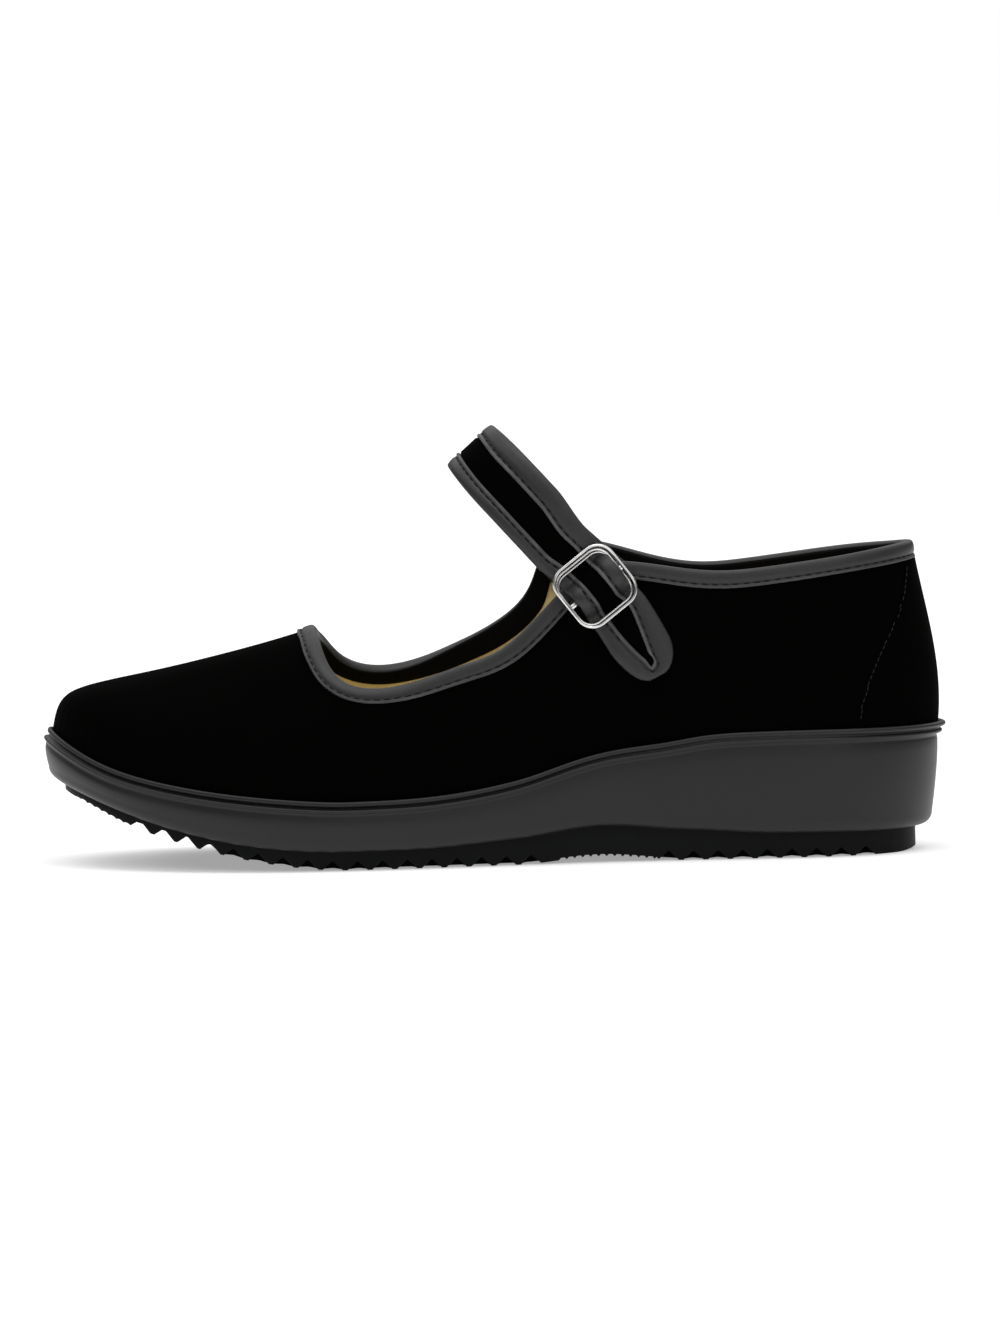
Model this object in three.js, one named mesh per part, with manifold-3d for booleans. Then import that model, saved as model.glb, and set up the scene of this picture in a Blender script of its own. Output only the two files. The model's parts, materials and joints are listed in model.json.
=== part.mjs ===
// A left mary jane flat: a velvet upper bound with tape, one strap with a slide buckle, on a moulded wedge sole.
// Millimetres. +X towards the toe, +Y towards the outer side of the foot, +Z up, origin on the floor below the middle.
import * as THREE from "three";
import { mergeVertices } from "three/addons/utils/BufferGeometryUtils.js";
import Module from "manifold-3d";

const wasm = await Module();
wasm.setup();

// Driving dimensions of the last and the upper.
const LAST_LENGTH = 245.4;
const BALL_WIDTH = 84;
const HEEL_WIDTH = 58;
const QUARTER_HEIGHT = 50;
const UPPER_WALL = 1.8;
const SEAT_GAP = 0.3;

// Driving dimensions of the sole.
const HEEL_HEIGHT = 35.6;
const FOREFOOT_HEIGHT = 19.2;
const TOE_SPRING = 21;
const SPRING_START = 0.665;
const ARCH_RISE = 1.6;
const RIM_DEPTH = 5.5;
const BEAD_WIDTH = 1.3;
const BEAD_HEIGHT = 1.6;
const SIDE_FLARE = 2.6;
const SIDE_DRAFT = 2.6;
const LIP_HEIGHT = 6.9;
const LIP_ROUND = 3.4;
const TREAD_STEP = 0.9;
const HEEL_BEVEL = 1.5;
const LUG_PITCH = 6.8;
const LUG_DEPTH = 2.6;
const LUG_FLAT = 1.2;
const TREAD_STRIP = 16;

// Driving dimensions of the trims, the strap and the buckle.
const INSOLE_THICKNESS = 2.6;
const TAPE_WIDTH = 4.9;
const TAPE_INNER_WIDTH = 5.5;
const TAPE_THICKNESS = 0.6;
const STAY_THICKNESS = 0.7;
const STRAP_WIDTH = 16.5;
const STRAP_CORE = 1.2;
const STRAP_RISE = 42.6;
const STRAP_LEAN = 41.5;
const STRAP_ROOT_EASE = 16;
const STRAP_ROOT_DEPTH = 9;
const STRAP_ROOT_FLARE = 4;
const STRAP_TAIL = 21.6;
const STRAP_TIP = 11;
const STRAP_FRONT_SWELL = 1.6;
const STRAP_REAR_SWELL = 0.55;
const STRAP_NECK = 1.4;
const STRAP_TAPE_WIDTH = 4.8;
const STRAP_TAPE_THICKNESS = 0.4;
const BUCKLE_LENGTH = 20;
const BUCKLE_WIDTH = 20.4;
const BUCKLE_CORNER = 5.6;
const BUCKLE_END_WIDTH = 2.3;
const BUCKLE_SIDE_WIDTH = 1.5;
const BUCKLE_THICKNESS = 1.6;
const BUCKLE_TURN = 4;
const KEEPER_WIDTH = 7.6;
const KEEPER_THICKNESS = 0.6;

// Stations go from the toe tip to the back of the heel; a rib stands at each one on either side.
// x is a share of LAST_LENGTH from the heel; outer and inner are shares of the width named in `of`.
const OUTLINE = [
  { x: 1.0, of: BALL_WIDTH, outer: -0.06, inner: 0.06 },
  { x: 0.987, of: BALL_WIDTH, outer: 0.101, inner: 0.208 },
  { x: 0.949, of: BALL_WIDTH, outer: 0.244, inner: 0.345 },
  { x: 0.888, of: BALL_WIDTH, outer: 0.375, inner: 0.452 },
  { x: 0.807, of: BALL_WIDTH, outer: 0.462, inner: 0.502 },
  { x: 0.7175, of: BALL_WIDTH, outer: 0.5, inner: 0.492 },
  { x: 0.628, of: BALL_WIDTH, outer: 0.488, inner: 0.435 },
  { x: 0.547, of: BALL_WIDTH, outer: 0.45, inner: 0.369 },
  { x: 0.4735, of: HEEL_WIDTH, outer: 0.595, inner: 0.474 },
  { x: 0.4167, of: HEEL_WIDTH, outer: 0.557, inner: 0.448 },
  { x: 0.3598, of: HEEL_WIDTH, outer: 0.531, inner: 0.445 },
  { x: 0.2785, of: HEEL_WIDTH, outer: 0.51, inner: 0.471 },
  { x: 0.181, of: HEEL_WIDTH, outer: 0.503, inner: 0.497 },
  { x: 0.0955, of: HEEL_WIDTH, outer: 0.466, inner: 0.457 },
  { x: 0.0305, of: HEEL_WIDTH, outer: 0.302, inner: 0.29 },
  { x: 0.0, of: HEEL_WIDTH, outer: 0.009, inner: -0.009 },
];

// The topline over the same stations: x and side as above, high as a share of QUARTER_HEIGHT above the rim below it.
const OUTER_TOPLINE = [
  { x: 0.701, side: -0.012, high: 0.902 },
  { x: 0.7, side: 0.054, high: 0.894 },
  { x: 0.697, side: 0.119, high: 0.864 },
  { x: 0.692, side: 0.196, high: 0.796 },
  { x: 0.678, side: 0.28, high: 0.68 },
  { x: 0.648, side: 0.349, high: 0.606 },
  { x: 0.596, side: 0.379, high: 0.62 },
  { x: 0.535, side: 0.379, high: 0.688 },
  { x: 0.476, side: 0.522, high: 0.77 },
  { x: 0.423, side: 0.49, high: 0.946 },
  { x: 0.376, side: 0.462, high: 1.035 },
  { x: 0.278, side: 0.434, high: 0.922 },
  { x: 0.185, side: 0.417, high: 0.902 },
  { x: 0.107, side: 0.349, high: 0.946 },
  { x: 0.0495, side: 0.212, high: 0.988 },
  { x: 0.0268, side: 0.003, high: 1.004 },
];
const INNER_TOPLINE = [
  { x: 0.701, side: 0.012, high: 0.902 },
  { x: 0.7, side: 0.077, high: 0.892 },
  { x: 0.697, side: 0.137, high: 0.864 },
  { x: 0.69, side: 0.202, high: 0.82 },
  { x: 0.674, side: 0.268, high: 0.726 },
  { x: 0.642, side: 0.315, high: 0.654 },
  { x: 0.593, side: 0.339, high: 0.666 },
  { x: 0.537, side: 0.337, high: 0.748 },
  { x: 0.486, side: 0.474, high: 0.84 },
  { x: 0.4548, side: 0.458, high: 0.98 },
  { x: 0.428, side: 0.445, high: 1.17 },
  { x: 0.318, side: 0.42, high: 0.979 },
  { x: 0.212, side: 0.415, high: 0.894 },
  { x: 0.107, side: 0.342, high: 0.956 },
  { x: 0.0502, side: 0.205, high: 0.986 },
  { x: 0.0268, side: -0.003, high: 1.004 },
];

// How each rib leaves the rim and reaches the topline: stand and drop are shares of its rise, bulge of BALL_WIDTH,
// reach of its inward run. flare, draft and bead shape the sole's side below it, as shares of SIDE_FLARE, SIDE_DRAFT
// and BEAD_WIDTH.
const RIB = [
  { stand: 0.62, bulge: -0.034, reach: 0.91, drop: 0.74, flare: 1.0, draft: 0.5, bead: 1.0 },
  { stand: 0.6, bulge: -0.028, reach: 0.89, drop: 0.72, flare: 1.0, draft: 0.48, bead: 1.0 },
  { stand: 0.52, bulge: -0.008, reach: 0.82, drop: 0.65, flare: 1.0, draft: 0.42, bead: 1.0 },
  { stand: 0.46, bulge: 0.011, reach: 0.7, drop: 0.56, flare: 1.0, draft: 0.36, bead: 1.0 },
  { stand: 0.44, bulge: 0.022, reach: 0.6, drop: 0.47, flare: 1.0, draft: 0.31, bead: 1.0 },
  { stand: 0.44, bulge: 0.025, reach: 0.52, drop: 0.37, flare: 1.0, draft: 0.31, bead: 1.0 },
  { stand: 0.42, bulge: 0.025, reach: 0.58, drop: 0.3, flare: 0.96, draft: 0.31, bead: 1.0 },
  { stand: 0.4, bulge: 0.022, reach: 0.6, drop: 0.28, flare: 0.92, draft: 0.31, bead: 1.0 },
  { stand: 0.38, bulge: 0.018, reach: 0.6, drop: 0.32, flare: 0.88, draft: 0.31, bead: 1.0 },
  { stand: 0.36, bulge: 0.016, reach: 0.6, drop: 0.34, flare: 0.85, draft: 0.31, bead: 1.0 },
  { stand: 0.36, bulge: 0.014, reach: 0.6, drop: 0.34, flare: 0.81, draft: 0.31, bead: 1.0 },
  { stand: 0.36, bulge: 0.014, reach: 0.55, drop: 0.33, flare: 0.77, draft: 0.35, bead: 1.0 },
  { stand: 0.36, bulge: 0.014, reach: 0.5, drop: 0.33, flare: 0.69, draft: 0.42, bead: 1.0 },
  { stand: 0.36, bulge: 0.016, reach: 0.45, drop: 0.33, flare: 0.58, draft: 0.58, bead: 1.1 },
  { stand: 0.36, bulge: 0.019, reach: 0.4, drop: 0.33, flare: 0.38, draft: 0.85, bead: 1.5 },
  { stand: 0.36, bulge: 0.021, reach: 0.38, drop: 0.33, flare: 0.27, draft: 1.0, bead: 1.85 },
];

// The sole along its length, x from heel to toe: thin scales FOREFOOT_HEIGHT, wedge adds the rest up to HEEL_HEIGHT,
// lip scales LIP_HEIGHT, the height of the tread layer under the side.
const SOLE_LENGTHWISE = [
  { x: -0.01, thin: 1, wedge: 1, lip: 1.0 },
  { x: 0.06, thin: 1, wedge: 1, lip: 0.97 },
  { x: 0.136, thin: 1, wedge: 1, lip: 1.0 },
  { x: 0.205, thin: 1, wedge: 0.988, lip: 1.04 },
  { x: 0.272, thin: 1, wedge: 0.927, lip: 1.2 },
  { x: 0.3175, thin: 1, wedge: 0.8, lip: 1.25 },
  { x: 0.385, thin: 1, wedge: 0.58, lip: 1.22 },
  { x: 0.431, thin: 1, wedge: 0.43, lip: 1.15 },
  { x: 0.499, thin: 1, wedge: 0.2, lip: 0.98 },
  { x: 0.578, thin: 1, wedge: 0.04, lip: 0.78 },
  { x: 0.656, thin: 1, wedge: 0, lip: 0.75 },
  { x: 0.726, thin: 0.98, wedge: 0, lip: 0.67 },
  { x: 0.782, thin: 0.93, wedge: 0, lip: 0.57 },
  { x: 0.838, thin: 0.86, wedge: 0, lip: 0.49 },
  { x: 0.892, thin: 0.79, wedge: 0, lip: 0.44 },
  { x: 0.95, thin: 0.77, wedge: 0, lip: 0.42 },
  { x: 1.01, thin: 0.91, wedge: 0, lip: 0.4 },
];

// Places along the shoe, in rows of the tables or as shares of what they name.
const ROWS = 2 * (OUTLINE.length - 1);
const HEEL_ROW = OUTLINE.length - 1;
const STEPS_PER_ROW = 3;
const WALL_STEPS = [0, 0.12, 0.25, 0.38, 0.52, 0.66, 0.79, 0.9];
const STAY_SIDES = [
  { v: 0.03, half: 1.95 },
  { v: 0.13, half: 1.9 },
  { v: 0.25, half: 1.78 },
  { v: 0.37, half: 1.61 },
  { v: 0.5, half: 1.4 },
  { v: 0.62, half: 1.19 },
  { v: 0.75, half: 0.98 },
  { v: 0.88, half: 0.8 },
  { v: 1.0, half: 0.66 },
];
const STRAP_ROOT = { x: 0.408, high: 1.045 };
const BUCKLE_SEAT = { x: 0.3805, high: 0.91 };
const TAIL_TURN = [-9, -11, -13, -14, -14];
const FOREFOOT_LUGS = { from: 0.45, to: 0.905 };
const HEEL_LUGS = { from: 0.085, to: 0.285 };

const up = new THREE.Vector3(0, 0, 1);
const outwards = new THREE.Vector3(0, 1, 0);
const vec = (x, y, z) => new THREE.Vector3(x, y, z);
const mix = THREE.MathUtils.lerp;

// A smooth cubic through one column of numbers, closed round the shoe when it has a period, else open.
class Column {
  constructor(knots, values, period = 0) {
    this.knots = knots;
    this.values = values;
    this.period = period;
    this.count = values.length;
    this.slopes = values.map(() => 0);
    const passes = 80;
    for (let pass = 0; pass < passes; pass += 1) {
      for (let i = 0; i < this.count; i += 1) this.slopes[i] = this.relaxed(i);
    }
  }

  gap(i) {
    if (!this.period) return this.knots[i + 1] - this.knots[i];
    const here = (i + this.count) % this.count;
    const next = (here + 1) % this.count;
    return (this.knots[next] - this.knots[here] + this.period) % this.period;
  }

  value(i) {
    return this.values[(i + this.count) % this.count];
  }

  relaxed(i) {
    const slope = (k) => this.slopes[(k + this.count) % this.count];
    if (!this.period && i === 0) {
      return (1.5 * (this.value(1) - this.value(0))) / this.gap(0) - 0.5 * slope(1);
    }
    if (!this.period && i === this.count - 1) {
      return (1.5 * (this.value(i) - this.value(i - 1))) / this.gap(i - 1) - 0.5 * slope(i - 1);
    }
    const before = this.gap(i - 1);
    const after = this.gap(i);
    const pull =
      (3 * (this.value(i) - this.value(i - 1))) / before ** 2 +
      (3 * (this.value(i + 1) - this.value(i))) / after ** 2;
    return (pull - slope(i - 1) / before - slope(i + 1) / after) / (2 / before + 2 / after);
  }

  // The value at a place counted in rows, such as 3.5 for halfway between rows 3 and 4.
  at(row) {
    const place = this.period
      ? THREE.MathUtils.euclideanModulo(row, this.count)
      : THREE.MathUtils.clamp(row, 0, this.count - 1 - 1e-9);
    const i = Math.floor(place);
    const f = place - i;
    const span = this.gap(i);
    const a = this.value(i);
    const b = this.value(i + 1);
    const next = (i + 1) % this.count;
    return (
      a * (1 + 2 * f) * (1 - f) ** 2 +
      b * (3 - 2 * f) * f ** 2 +
      span * f * (1 - f) * (this.slopes[i] * (1 - f) - this.slopes[next] * f)
    );
  }

  // The value at a knot position, for an open column.
  along(knot) {
    const last = this.count - 2;
    let i = 0;
    while (i < last && this.knots[i + 1] < knot) i += 1;
    return this.at(i + (knot - this.knots[i]) / this.gap(i));
  }
}

// The sole's heights along the shoe.
const soleX = SOLE_LENGTHWISE.map((row) => row.x * LAST_LENGTH);
const soleColumn = (key) => new Column(soleX, SOLE_LENGTHWISE.map((row) => row[key]));
const thin = soleColumn("thin");
const wedge = soleColumn("wedge");
const lip = soleColumn("lip");

// Height of the tread's face above the floor at x: flat under heel and ball, raised at the arch and sprung at the toe.
function treadHeight(x) {
  const share = x / LAST_LENGTH;
  const springing = Math.max(0, (share - SPRING_START) / (1 - SPRING_START));
  const bevelled = Math.max(0, 1 - (x - 5) / 7);
  const [archFrom, archTo] = [HEEL_LUGS.to, FOREFOOT_LUGS.from + 0.03];
  const arched = share > archFrom && share < archTo;
  const archTurn = (Math.PI * (share - archFrom)) / (archTo - archFrom);
  return (
    TOE_SPRING * springing ** 1.75 +
    (arched ? ARCH_RISE * Math.sin(archTurn) ** 2 : 0) +
    (x < 12 ? HEEL_BEVEL * bevelled ** 2 : 0)
  );
}

function rimHeight(x) {
  const raised = (HEEL_HEIGHT - FOREFOOT_HEIGHT) * wedge.along(x);
  return treadHeight(Math.max(x, 12)) + FOREFOOT_HEIGHT * thin.along(x) + raised;
}

const lipHeight = (x) => treadHeight(Math.max(x, 12)) + LIP_HEIGHT * lip.along(x);

// One closed list of ribs: toe tip, down the outer side to the heel, and back along the inner side.
function ribRows() {
  const rows = [];
  for (let k = 0; k < ROWS; k += 1) {
    const inner = k > HEEL_ROW;
    const i = inner ? ROWS - k : k;
    const place = OUTLINE[i];
    const topline = (inner ? INNER_TOPLINE : OUTER_TOPLINE)[i];
    const sign = inner ? -1 : 1;
    const topX = topline.x * LAST_LENGTH;
    rows.push({
      baseX: place.x * LAST_LENGTH,
      baseY: sign * (inner ? place.inner : place.outer) * place.of,
      topX,
      topY: sign * topline.side * place.of,
      topZ: rimHeight(topX) + topline.high * QUARTER_HEIGHT,
      ...RIB[i],
    });
  }
  return rows;
}

const ribs = ribRows();
const ribKnots = [0];
for (let k = 1; k < ROWS; k += 1) {
  const [a, b] = [ribs[k - 1], ribs[k]];
  ribKnots.push(ribKnots[k - 1] + Math.hypot(b.baseX - a.baseX, b.baseY - a.baseY));
}
const closing = Math.hypot(ribs[0].baseX - ribs.at(-1).baseX, ribs[0].baseY - ribs.at(-1).baseY);
const girth = ribKnots.at(-1) + closing;
const around = Object.fromEntries(
  Object.keys(ribs[0])
    .filter((key) => key !== "of")
    .map((key) => [key, new Column(ribKnots, ribs.map((row) => row[key]), girth)]),
);

// The place on the upper's outline at the rim, and the level direction that points out of the shoe there.
const base = (u) => vec(around.baseX.at(u), around.baseY.at(u), rimHeight(around.baseX.at(u)));

function levelNormal(u) {
  const ahead = base(u + 0.05).sub(base(u - 0.05));
  return vec(-ahead.y, ahead.x, 0).normalize().negate();
}

// One rib of the last at row u, as points from the rim to the topline, evenly spaced along it.
function ribCurve(u) {
  const foot = base(u);
  const top = vec(around.topX.at(u), around.topY.at(u), around.topZ.at(u));
  const inward = vec(top.x - foot.x, top.y - foot.y, 0);
  const rise = top.z - foot.z;
  const stand = foot
    .clone()
    .addScaledVector(up, around.stand.at(u) * rise)
    .addScaledVector(levelNormal(u), around.bulge.at(u) * BALL_WIDTH);
  const reach = top
    .clone()
    .addScaledVector(inward, -around.reach.at(u))
    .addScaledVector(up, -around.drop.at(u) * rise);
  return new THREE.CubicBezierCurve3(foot, stand, reach, top);
}

const ribCache = new Map();

function rib(u) {
  const key = THREE.MathUtils.euclideanModulo(u, ROWS).toFixed(5);
  if (!ribCache.has(key)) {
    const curve = ribCurve(u);
    curve.arcLengthDivisions = 60;
    ribCache.set(key, { curve, length: curve.getLength() });
  }
  return ribCache.get(key);
}

// A point of the upper's outer face: u in rows round the shoe, v from 0 at the rim to 1 at the topline.
const face = (u, v) => rib(u).curve.getPointAt(THREE.MathUtils.clamp(v, 0, 1));

function faceNormal(u, v) {
  if (v <= 0) return levelNormal(u);
  const [low, high] = [Math.max(0, v - 0.015), Math.min(1, v + 0.015)];
  const alongU = face(u + 0.04, v).sub(face(u - 0.04, v));
  const alongV = face(u, high).sub(face(u, low));
  return alongU.cross(alongV).normalize();
}

const offFace = (u, v, out) => face(u, v).addScaledVector(faceNormal(u, v), out);

// The same, with the height given as a length below the topline.
const belowTop = (u, down, out) => offFace(u, 1 - down / rib(u).length, out);

// A quarter's face at a side position x, z, on the outer (1) or the inner (-1) side: its point and its normal. Above
// the topline the face is taken to go straight up.
function quarterAt(x, z, side) {
  const bare = (row, share) => ribCurve(row).getPoint(share);
  let u = side > 0 ? 9 : ROWS - 9;
  let v = 0.8;
  for (let pass = 0; pass < 9; pass += 1) {
    const here = bare(u, v);
    const byU = bare(u + 0.05, v).sub(here).multiplyScalar(20);
    const byV = here.clone().sub(bare(u, v - 0.02)).multiplyScalar(50);
    const miss = [x - here.x, v > 0.999 && z > here.z ? 0 : z - here.z];
    const det = byU.x * byV.z - byV.x * byU.z;
    u += (miss[0] * byV.z - miss[1] * byV.x) / det;
    v = THREE.MathUtils.clamp(v + (miss[1] * byU.x - miss[0] * byU.z) / det, 0.05, 1);
  }
  const point = bare(u, v);
  const byU = bare(u + 0.05, v).sub(bare(u - 0.05, v));
  const byV = bare(u, v).sub(bare(u, v - 0.02));
  const normal = byU.cross(byV).normalize();
  if (z > point.z + 0.01) {
    point.z = z;
    normal.setZ(0).normalize();
  }
  return { point, normal };
}

// Joins rings of points into one closed surface. Rings close on themselves; the run closes too, or its ends are
// capped by strips between the ring's first and second half.
function loft(rings, closed) {
  const count = rings[0].length;
  const points = rings.flat();
  const faces = [];
  const spans = closed ? rings.length : rings.length - 1;
  for (let i = 0; i < spans; i += 1) {
    const a = i * count;
    const b = ((i + 1) % rings.length) * count;
    for (let j = 0; j < count; j += 1) {
      const k = (j + 1) % count;
      faces.push([a + j, a + k, b + k], [a + j, b + k, b + j]);
    }
  }
  if (!closed) {
    const cap = (start, turn) => {
      for (let j = 0; j < count / 2 - 1; j += 1) {
        const [p, q, r, s] = [j, j + 1, count - 2 - j, count - 1 - j].map((k) => start + k);
        const pair = [[p, q, r], [p, r, s]];
        faces.push(...pair.map((f) => (turn ? f.toReversed() : f)));
      }
    };
    cap(0, true);
    cap((rings.length - 1) * count, false);
  }
  return facingOut(points, faces);
}

// Rows of points round the shoe, each an open profile; the first and last points are closed by strips from side to side.
function basin(profiles) {
  const count = profiles[0].length;
  const total = profiles.length;
  const points = profiles.flat();
  const faces = [];
  for (let i = 0; i < total; i += 1) {
    const a = i * count;
    const b = ((i + 1) % total) * count;
    for (let j = 0; j < count - 1; j += 1) {
      faces.push([a + j, a + j + 1, b + j + 1], [a + j, b + j + 1, b + j]);
    }
  }
  const strip = (row, turn) => {
    const at = (i) => ((i + total) % total) * count + row;
    for (let i = 0; i < total / 2; i += 1) {
      const [p, q, r, s] = [at(i), at(i + 1), at(total - i - 1), at(total - i)];
      const pair = [];
      if (i > 0) pair.push([p, r, s]);
      if (i < total / 2 - 1) pair.push([p, q, r]);
      faces.push(...pair.map((f) => (turn ? f.toReversed() : f)));
    }
  };
  strip(0, false);
  strip(count - 1, true);
  return facingOut(points, faces);
}

function facingOut(points, faces) {
  const volume = faces.reduce((sum, [a, b, c]) => {
    return sum + points[a].dot(points[b].clone().cross(points[c]));
  }, 0);
  const wound = volume < 0 ? faces.map((f) => f.toReversed()) : faces;
  const geometry = new THREE.BufferGeometry().setFromPoints(points);
  geometry.setIndex(wound.flat());
  return geometry;
}

function solid(geometry) {
  const bare = geometry.clone();
  bare.deleteAttribute("normal");
  bare.deleteAttribute("uv");
  const merged = mergeVertices(bare, 1e-4);
  const vertProperties = merged.attributes.position.array;
  const triVerts = new Uint32Array(merged.index.array);
  return new wasm.Manifold(new wasm.Mesh({ numProp: 3, vertProperties, triVerts }));
}

function geometryOf(body) {
  const mesh = body.getMesh();
  const geometry = new THREE.BufferGeometry();
  geometry.setAttribute("position", new THREE.BufferAttribute(mesh.vertProperties, 3));
  geometry.setIndex(new THREE.BufferAttribute(mesh.triVerts, 1));
  return geometry;
}

const stations = [];
for (let k = 0; k < ROWS * STEPS_PER_ROW; k += 1) stations.push(k / STEPS_PER_ROW);

// A share of the way up a rib; on the long ribs of the toe the low shares crowd where the face turns over.
const upRib = (u, share) => share ** (1 + Math.max(0, rib(u).length - QUARTER_HEIGHT) / 45);

// The upper: one wall with an outer and an inner face, open at the topline and underneath.
function upper() {
  const topEdge = TAPE_THICKNESS + SEAT_GAP;
  return loft(
    stations.map((u) => {
      const floor = base(u);
      floor.z += SEAT_GAP - RIM_DEPTH;
      const foot = floor.clone().addScaledVector(levelNormal(u), -UPPER_WALL);
      const outer = WALL_STEPS.map((share) => offFace(u, upRib(u, share), 0));
      const inner = WALL_STEPS.map((share) => offFace(u, upRib(u, share), -UPPER_WALL));
      const rimOfWall = [belowTop(u, topEdge, 0), belowTop(u, topEdge, -UPPER_WALL)];
      return [floor, ...outer, ...rimOfWall, ...inner.toReversed(), foot];
    }),
    true,
  );
}

// The sine of the angle at which a rib meets the topline, so that a width along the rib can be laid square to the edge.
function slant(u) {
  const alongTop = face(u + 0.04, 1).sub(face(u - 0.04, 1)).normalize();
  const alongRib = face(u, 1).sub(face(u, 0.97)).normalize();
  return THREE.MathUtils.clamp(alongTop.cross(alongRib).length(), 0.6, 1);
}

// The tape that is folded over the topline: an outer leg, the fold, and a longer inner leg.
function toplineTape() {
  const near = SEAT_GAP;
  const far = SEAT_GAP + TAPE_THICKNESS;
  const section = [
    [TAPE_WIDTH, near],
    [TAPE_WIDTH, far],
    [0, far - 0.1],
    [0, -UPPER_WALL - far + 0.1],
    [TAPE_INNER_WIDTH, -UPPER_WALL - far],
    [TAPE_INNER_WIDTH, -UPPER_WALL - near],
    [TAPE_THICKNESS, -UPPER_WALL - near],
    [TAPE_THICKNESS, near],
  ];
  return loft(
    stations.map((u) => {
      const square = (down) => (down > TAPE_THICKNESS ? down / slant(u) : down);
      return section.map(([down, out]) => belowTop(u, square(down), out));
    }),
    true,
  );
}

// The stay over the back seam: wide at the rim, narrow under the tape.
function heelStay() {
  const columns = [-6, -5, -4, -3, -2, -1, 0, 1, 2, 3, 4, 5, 6].map((step) => step / 6);
  const topV = 1 - (TAPE_WIDTH + SEAT_GAP) / rib(HEEL_ROW).length;
  return loft(
    STAY_SIDES.map(({ v, half }) => {
      const place = (out) => columns.map((c) => offFace(HEEL_ROW + c * half, v * topV, out));
      return [...place(SEAT_GAP), ...place(SEAT_GAP + STAY_THICKNESS).toReversed()];
    }),
    false,
  );
}

// The insole lies in the cup of the sole, inside the upper.
function insole() {
  return basin(
    stations.map((u) => {
      const edge = base(u).addScaledVector(levelNormal(u), -UPPER_WALL - SEAT_GAP);
      edge.z += SEAT_GAP - RIM_DEPTH;
      return [edge.clone().addScaledVector(up, INSOLE_THICKNESS), edge];
    }),
  );
}

// The side of the sole at row u, from the cup's floor over the bead, down the side and under the lip to the tread.
function soleProfile(u) {
  const foot = base(u);
  const out = levelNormal(u);
  const rim = foot.z;
  const low = lipHeight(foot.x);
  const side = rim - low;
  const flare = around.flare.at(u) * SIDE_FLARE;
  const draft = around.draft.at(u) * SIDE_DRAFT;
  const bead = around.bead.at(u) * BEAD_WIDTH;
  const round = Math.min(LIP_ROUND, side * 0.3);
  const groove = rim - BEAD_HEIGHT * 1.1;
  const tread = flare - draft - round - TREAD_STEP;
  const profile = [
    [SEAT_GAP, rim - RIM_DEPTH],
    [SEAT_GAP, rim - BEAD_HEIGHT * 0.3],
    [SEAT_GAP + bead * 0.35, rim],
    [SEAT_GAP + bead * 0.8, rim - BEAD_HEIGHT * 0.1],
    [SEAT_GAP + bead, rim - BEAD_HEIGHT * 0.5],
    [SEAT_GAP + bead * 0.65, groove],
    [Math.max(flare, bead * 0.7), groove - BEAD_HEIGHT * 0.55],
    [flare - 0.5, groove - BEAD_HEIGHT * 1.4],
    [flare - 0.1 - draft * 0.1, mix(low, rim, 0.6)],
    [flare - draft * 0.45, mix(low, rim, 0.38)],
    [flare - draft * 0.8, low + round],
    [flare - draft - round * 0.32, low + round * 0.34],
    [flare - draft - round, low],
    [tread, low],
  ].map(([o, z]) => vec(foot.x + out.x * o, foot.y + out.y * o, z));
  const edge = foot.clone().addScaledVector(out, tread);
  edge.z = treadHeight(edge.x);
  return [...profile, edge];
}

// One V groove of the tread at x, from the plain middle strip out to one side (1 outer, -1 inner).
function lugGroove(x, side) {
  const half = (LUG_PITCH - LUG_FLAT) / 2;
  const below = LUG_DEPTH;
  const flareBelow = half * (1 + below / LUG_DEPTH);
  const shape = new THREE.Shape();
  shape.moveTo(0, LUG_DEPTH);
  shape.lineTo(-flareBelow, -below);
  shape.lineTo(flareBelow, -below);
  shape.closePath();
  const reach = BALL_WIDTH;
  const groove = new THREE.ExtrudeGeometry(shape, { depth: reach, bevelEnabled: false });
  const slope = Math.atan2(treadHeight(x + 1) - treadHeight(x - 1), 2);
  groove.rotateX(Math.PI / 2);
  groove.translate(0, side > 0 ? reach + TREAD_STRIP / 2 : -TREAD_STRIP / 2, 0);
  groove.rotateY(-slope * 0.4);
  groove.translate(x, 0, treadHeight(x));
  return groove;
}

function sole() {
  let body = solid(basin(stations.map(soleProfile)));
  for (const zone of [HEEL_LUGS, FOREFOOT_LUGS]) {
    const last = zone.to * LAST_LENGTH;
    for (let x = zone.from * LAST_LENGTH; x < last; x += LUG_PITCH) {
      body = body.subtract(solid(lugGroove(x, 1))).subtract(solid(lugGroove(x, -1)));
    }
  }
  return geometryOf(body);
}

// The strap leans forward from the quarters: it rises along `climb` and its width runs along `across`.
const lean = THREE.MathUtils.degToRad(STRAP_LEAN);
const climb = vec(Math.sin(lean), 0, Math.cos(lean));
const across = vec(Math.cos(lean), 0, -Math.sin(lean));

// Heights over the outer quarter at the buckle, each layer on the one below with a gap between.
const TAPED_HALF = STRAP_CORE / 2 + SEAT_GAP + STRAP_TAPE_THICKNESS;
const ON_QUARTER = SEAT_GAP + TAPED_HALF;
const ON_TAPE = SEAT_GAP + TAPE_THICKNESS + ON_QUARTER;
const BUCKLE_HEIGHT = (ON_QUARTER + ON_TAPE) / 2 + TAPED_HALF + 2.5 * SEAT_GAP + BUCKLE_THICKNESS / 2;
const BAR_HEIGHT = BUCKLE_HEIGHT - BUCKLE_THICKNESS / 2;
const KEEPER_HALF = BUCKLE_THICKNESS / 2 + SEAT_GAP + KEEPER_THICKNESS;
const OVER_BAR = BAR_HEIGHT + KEEPER_HALF + SEAT_GAP * 1.6 + TAPED_HALF;

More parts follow.
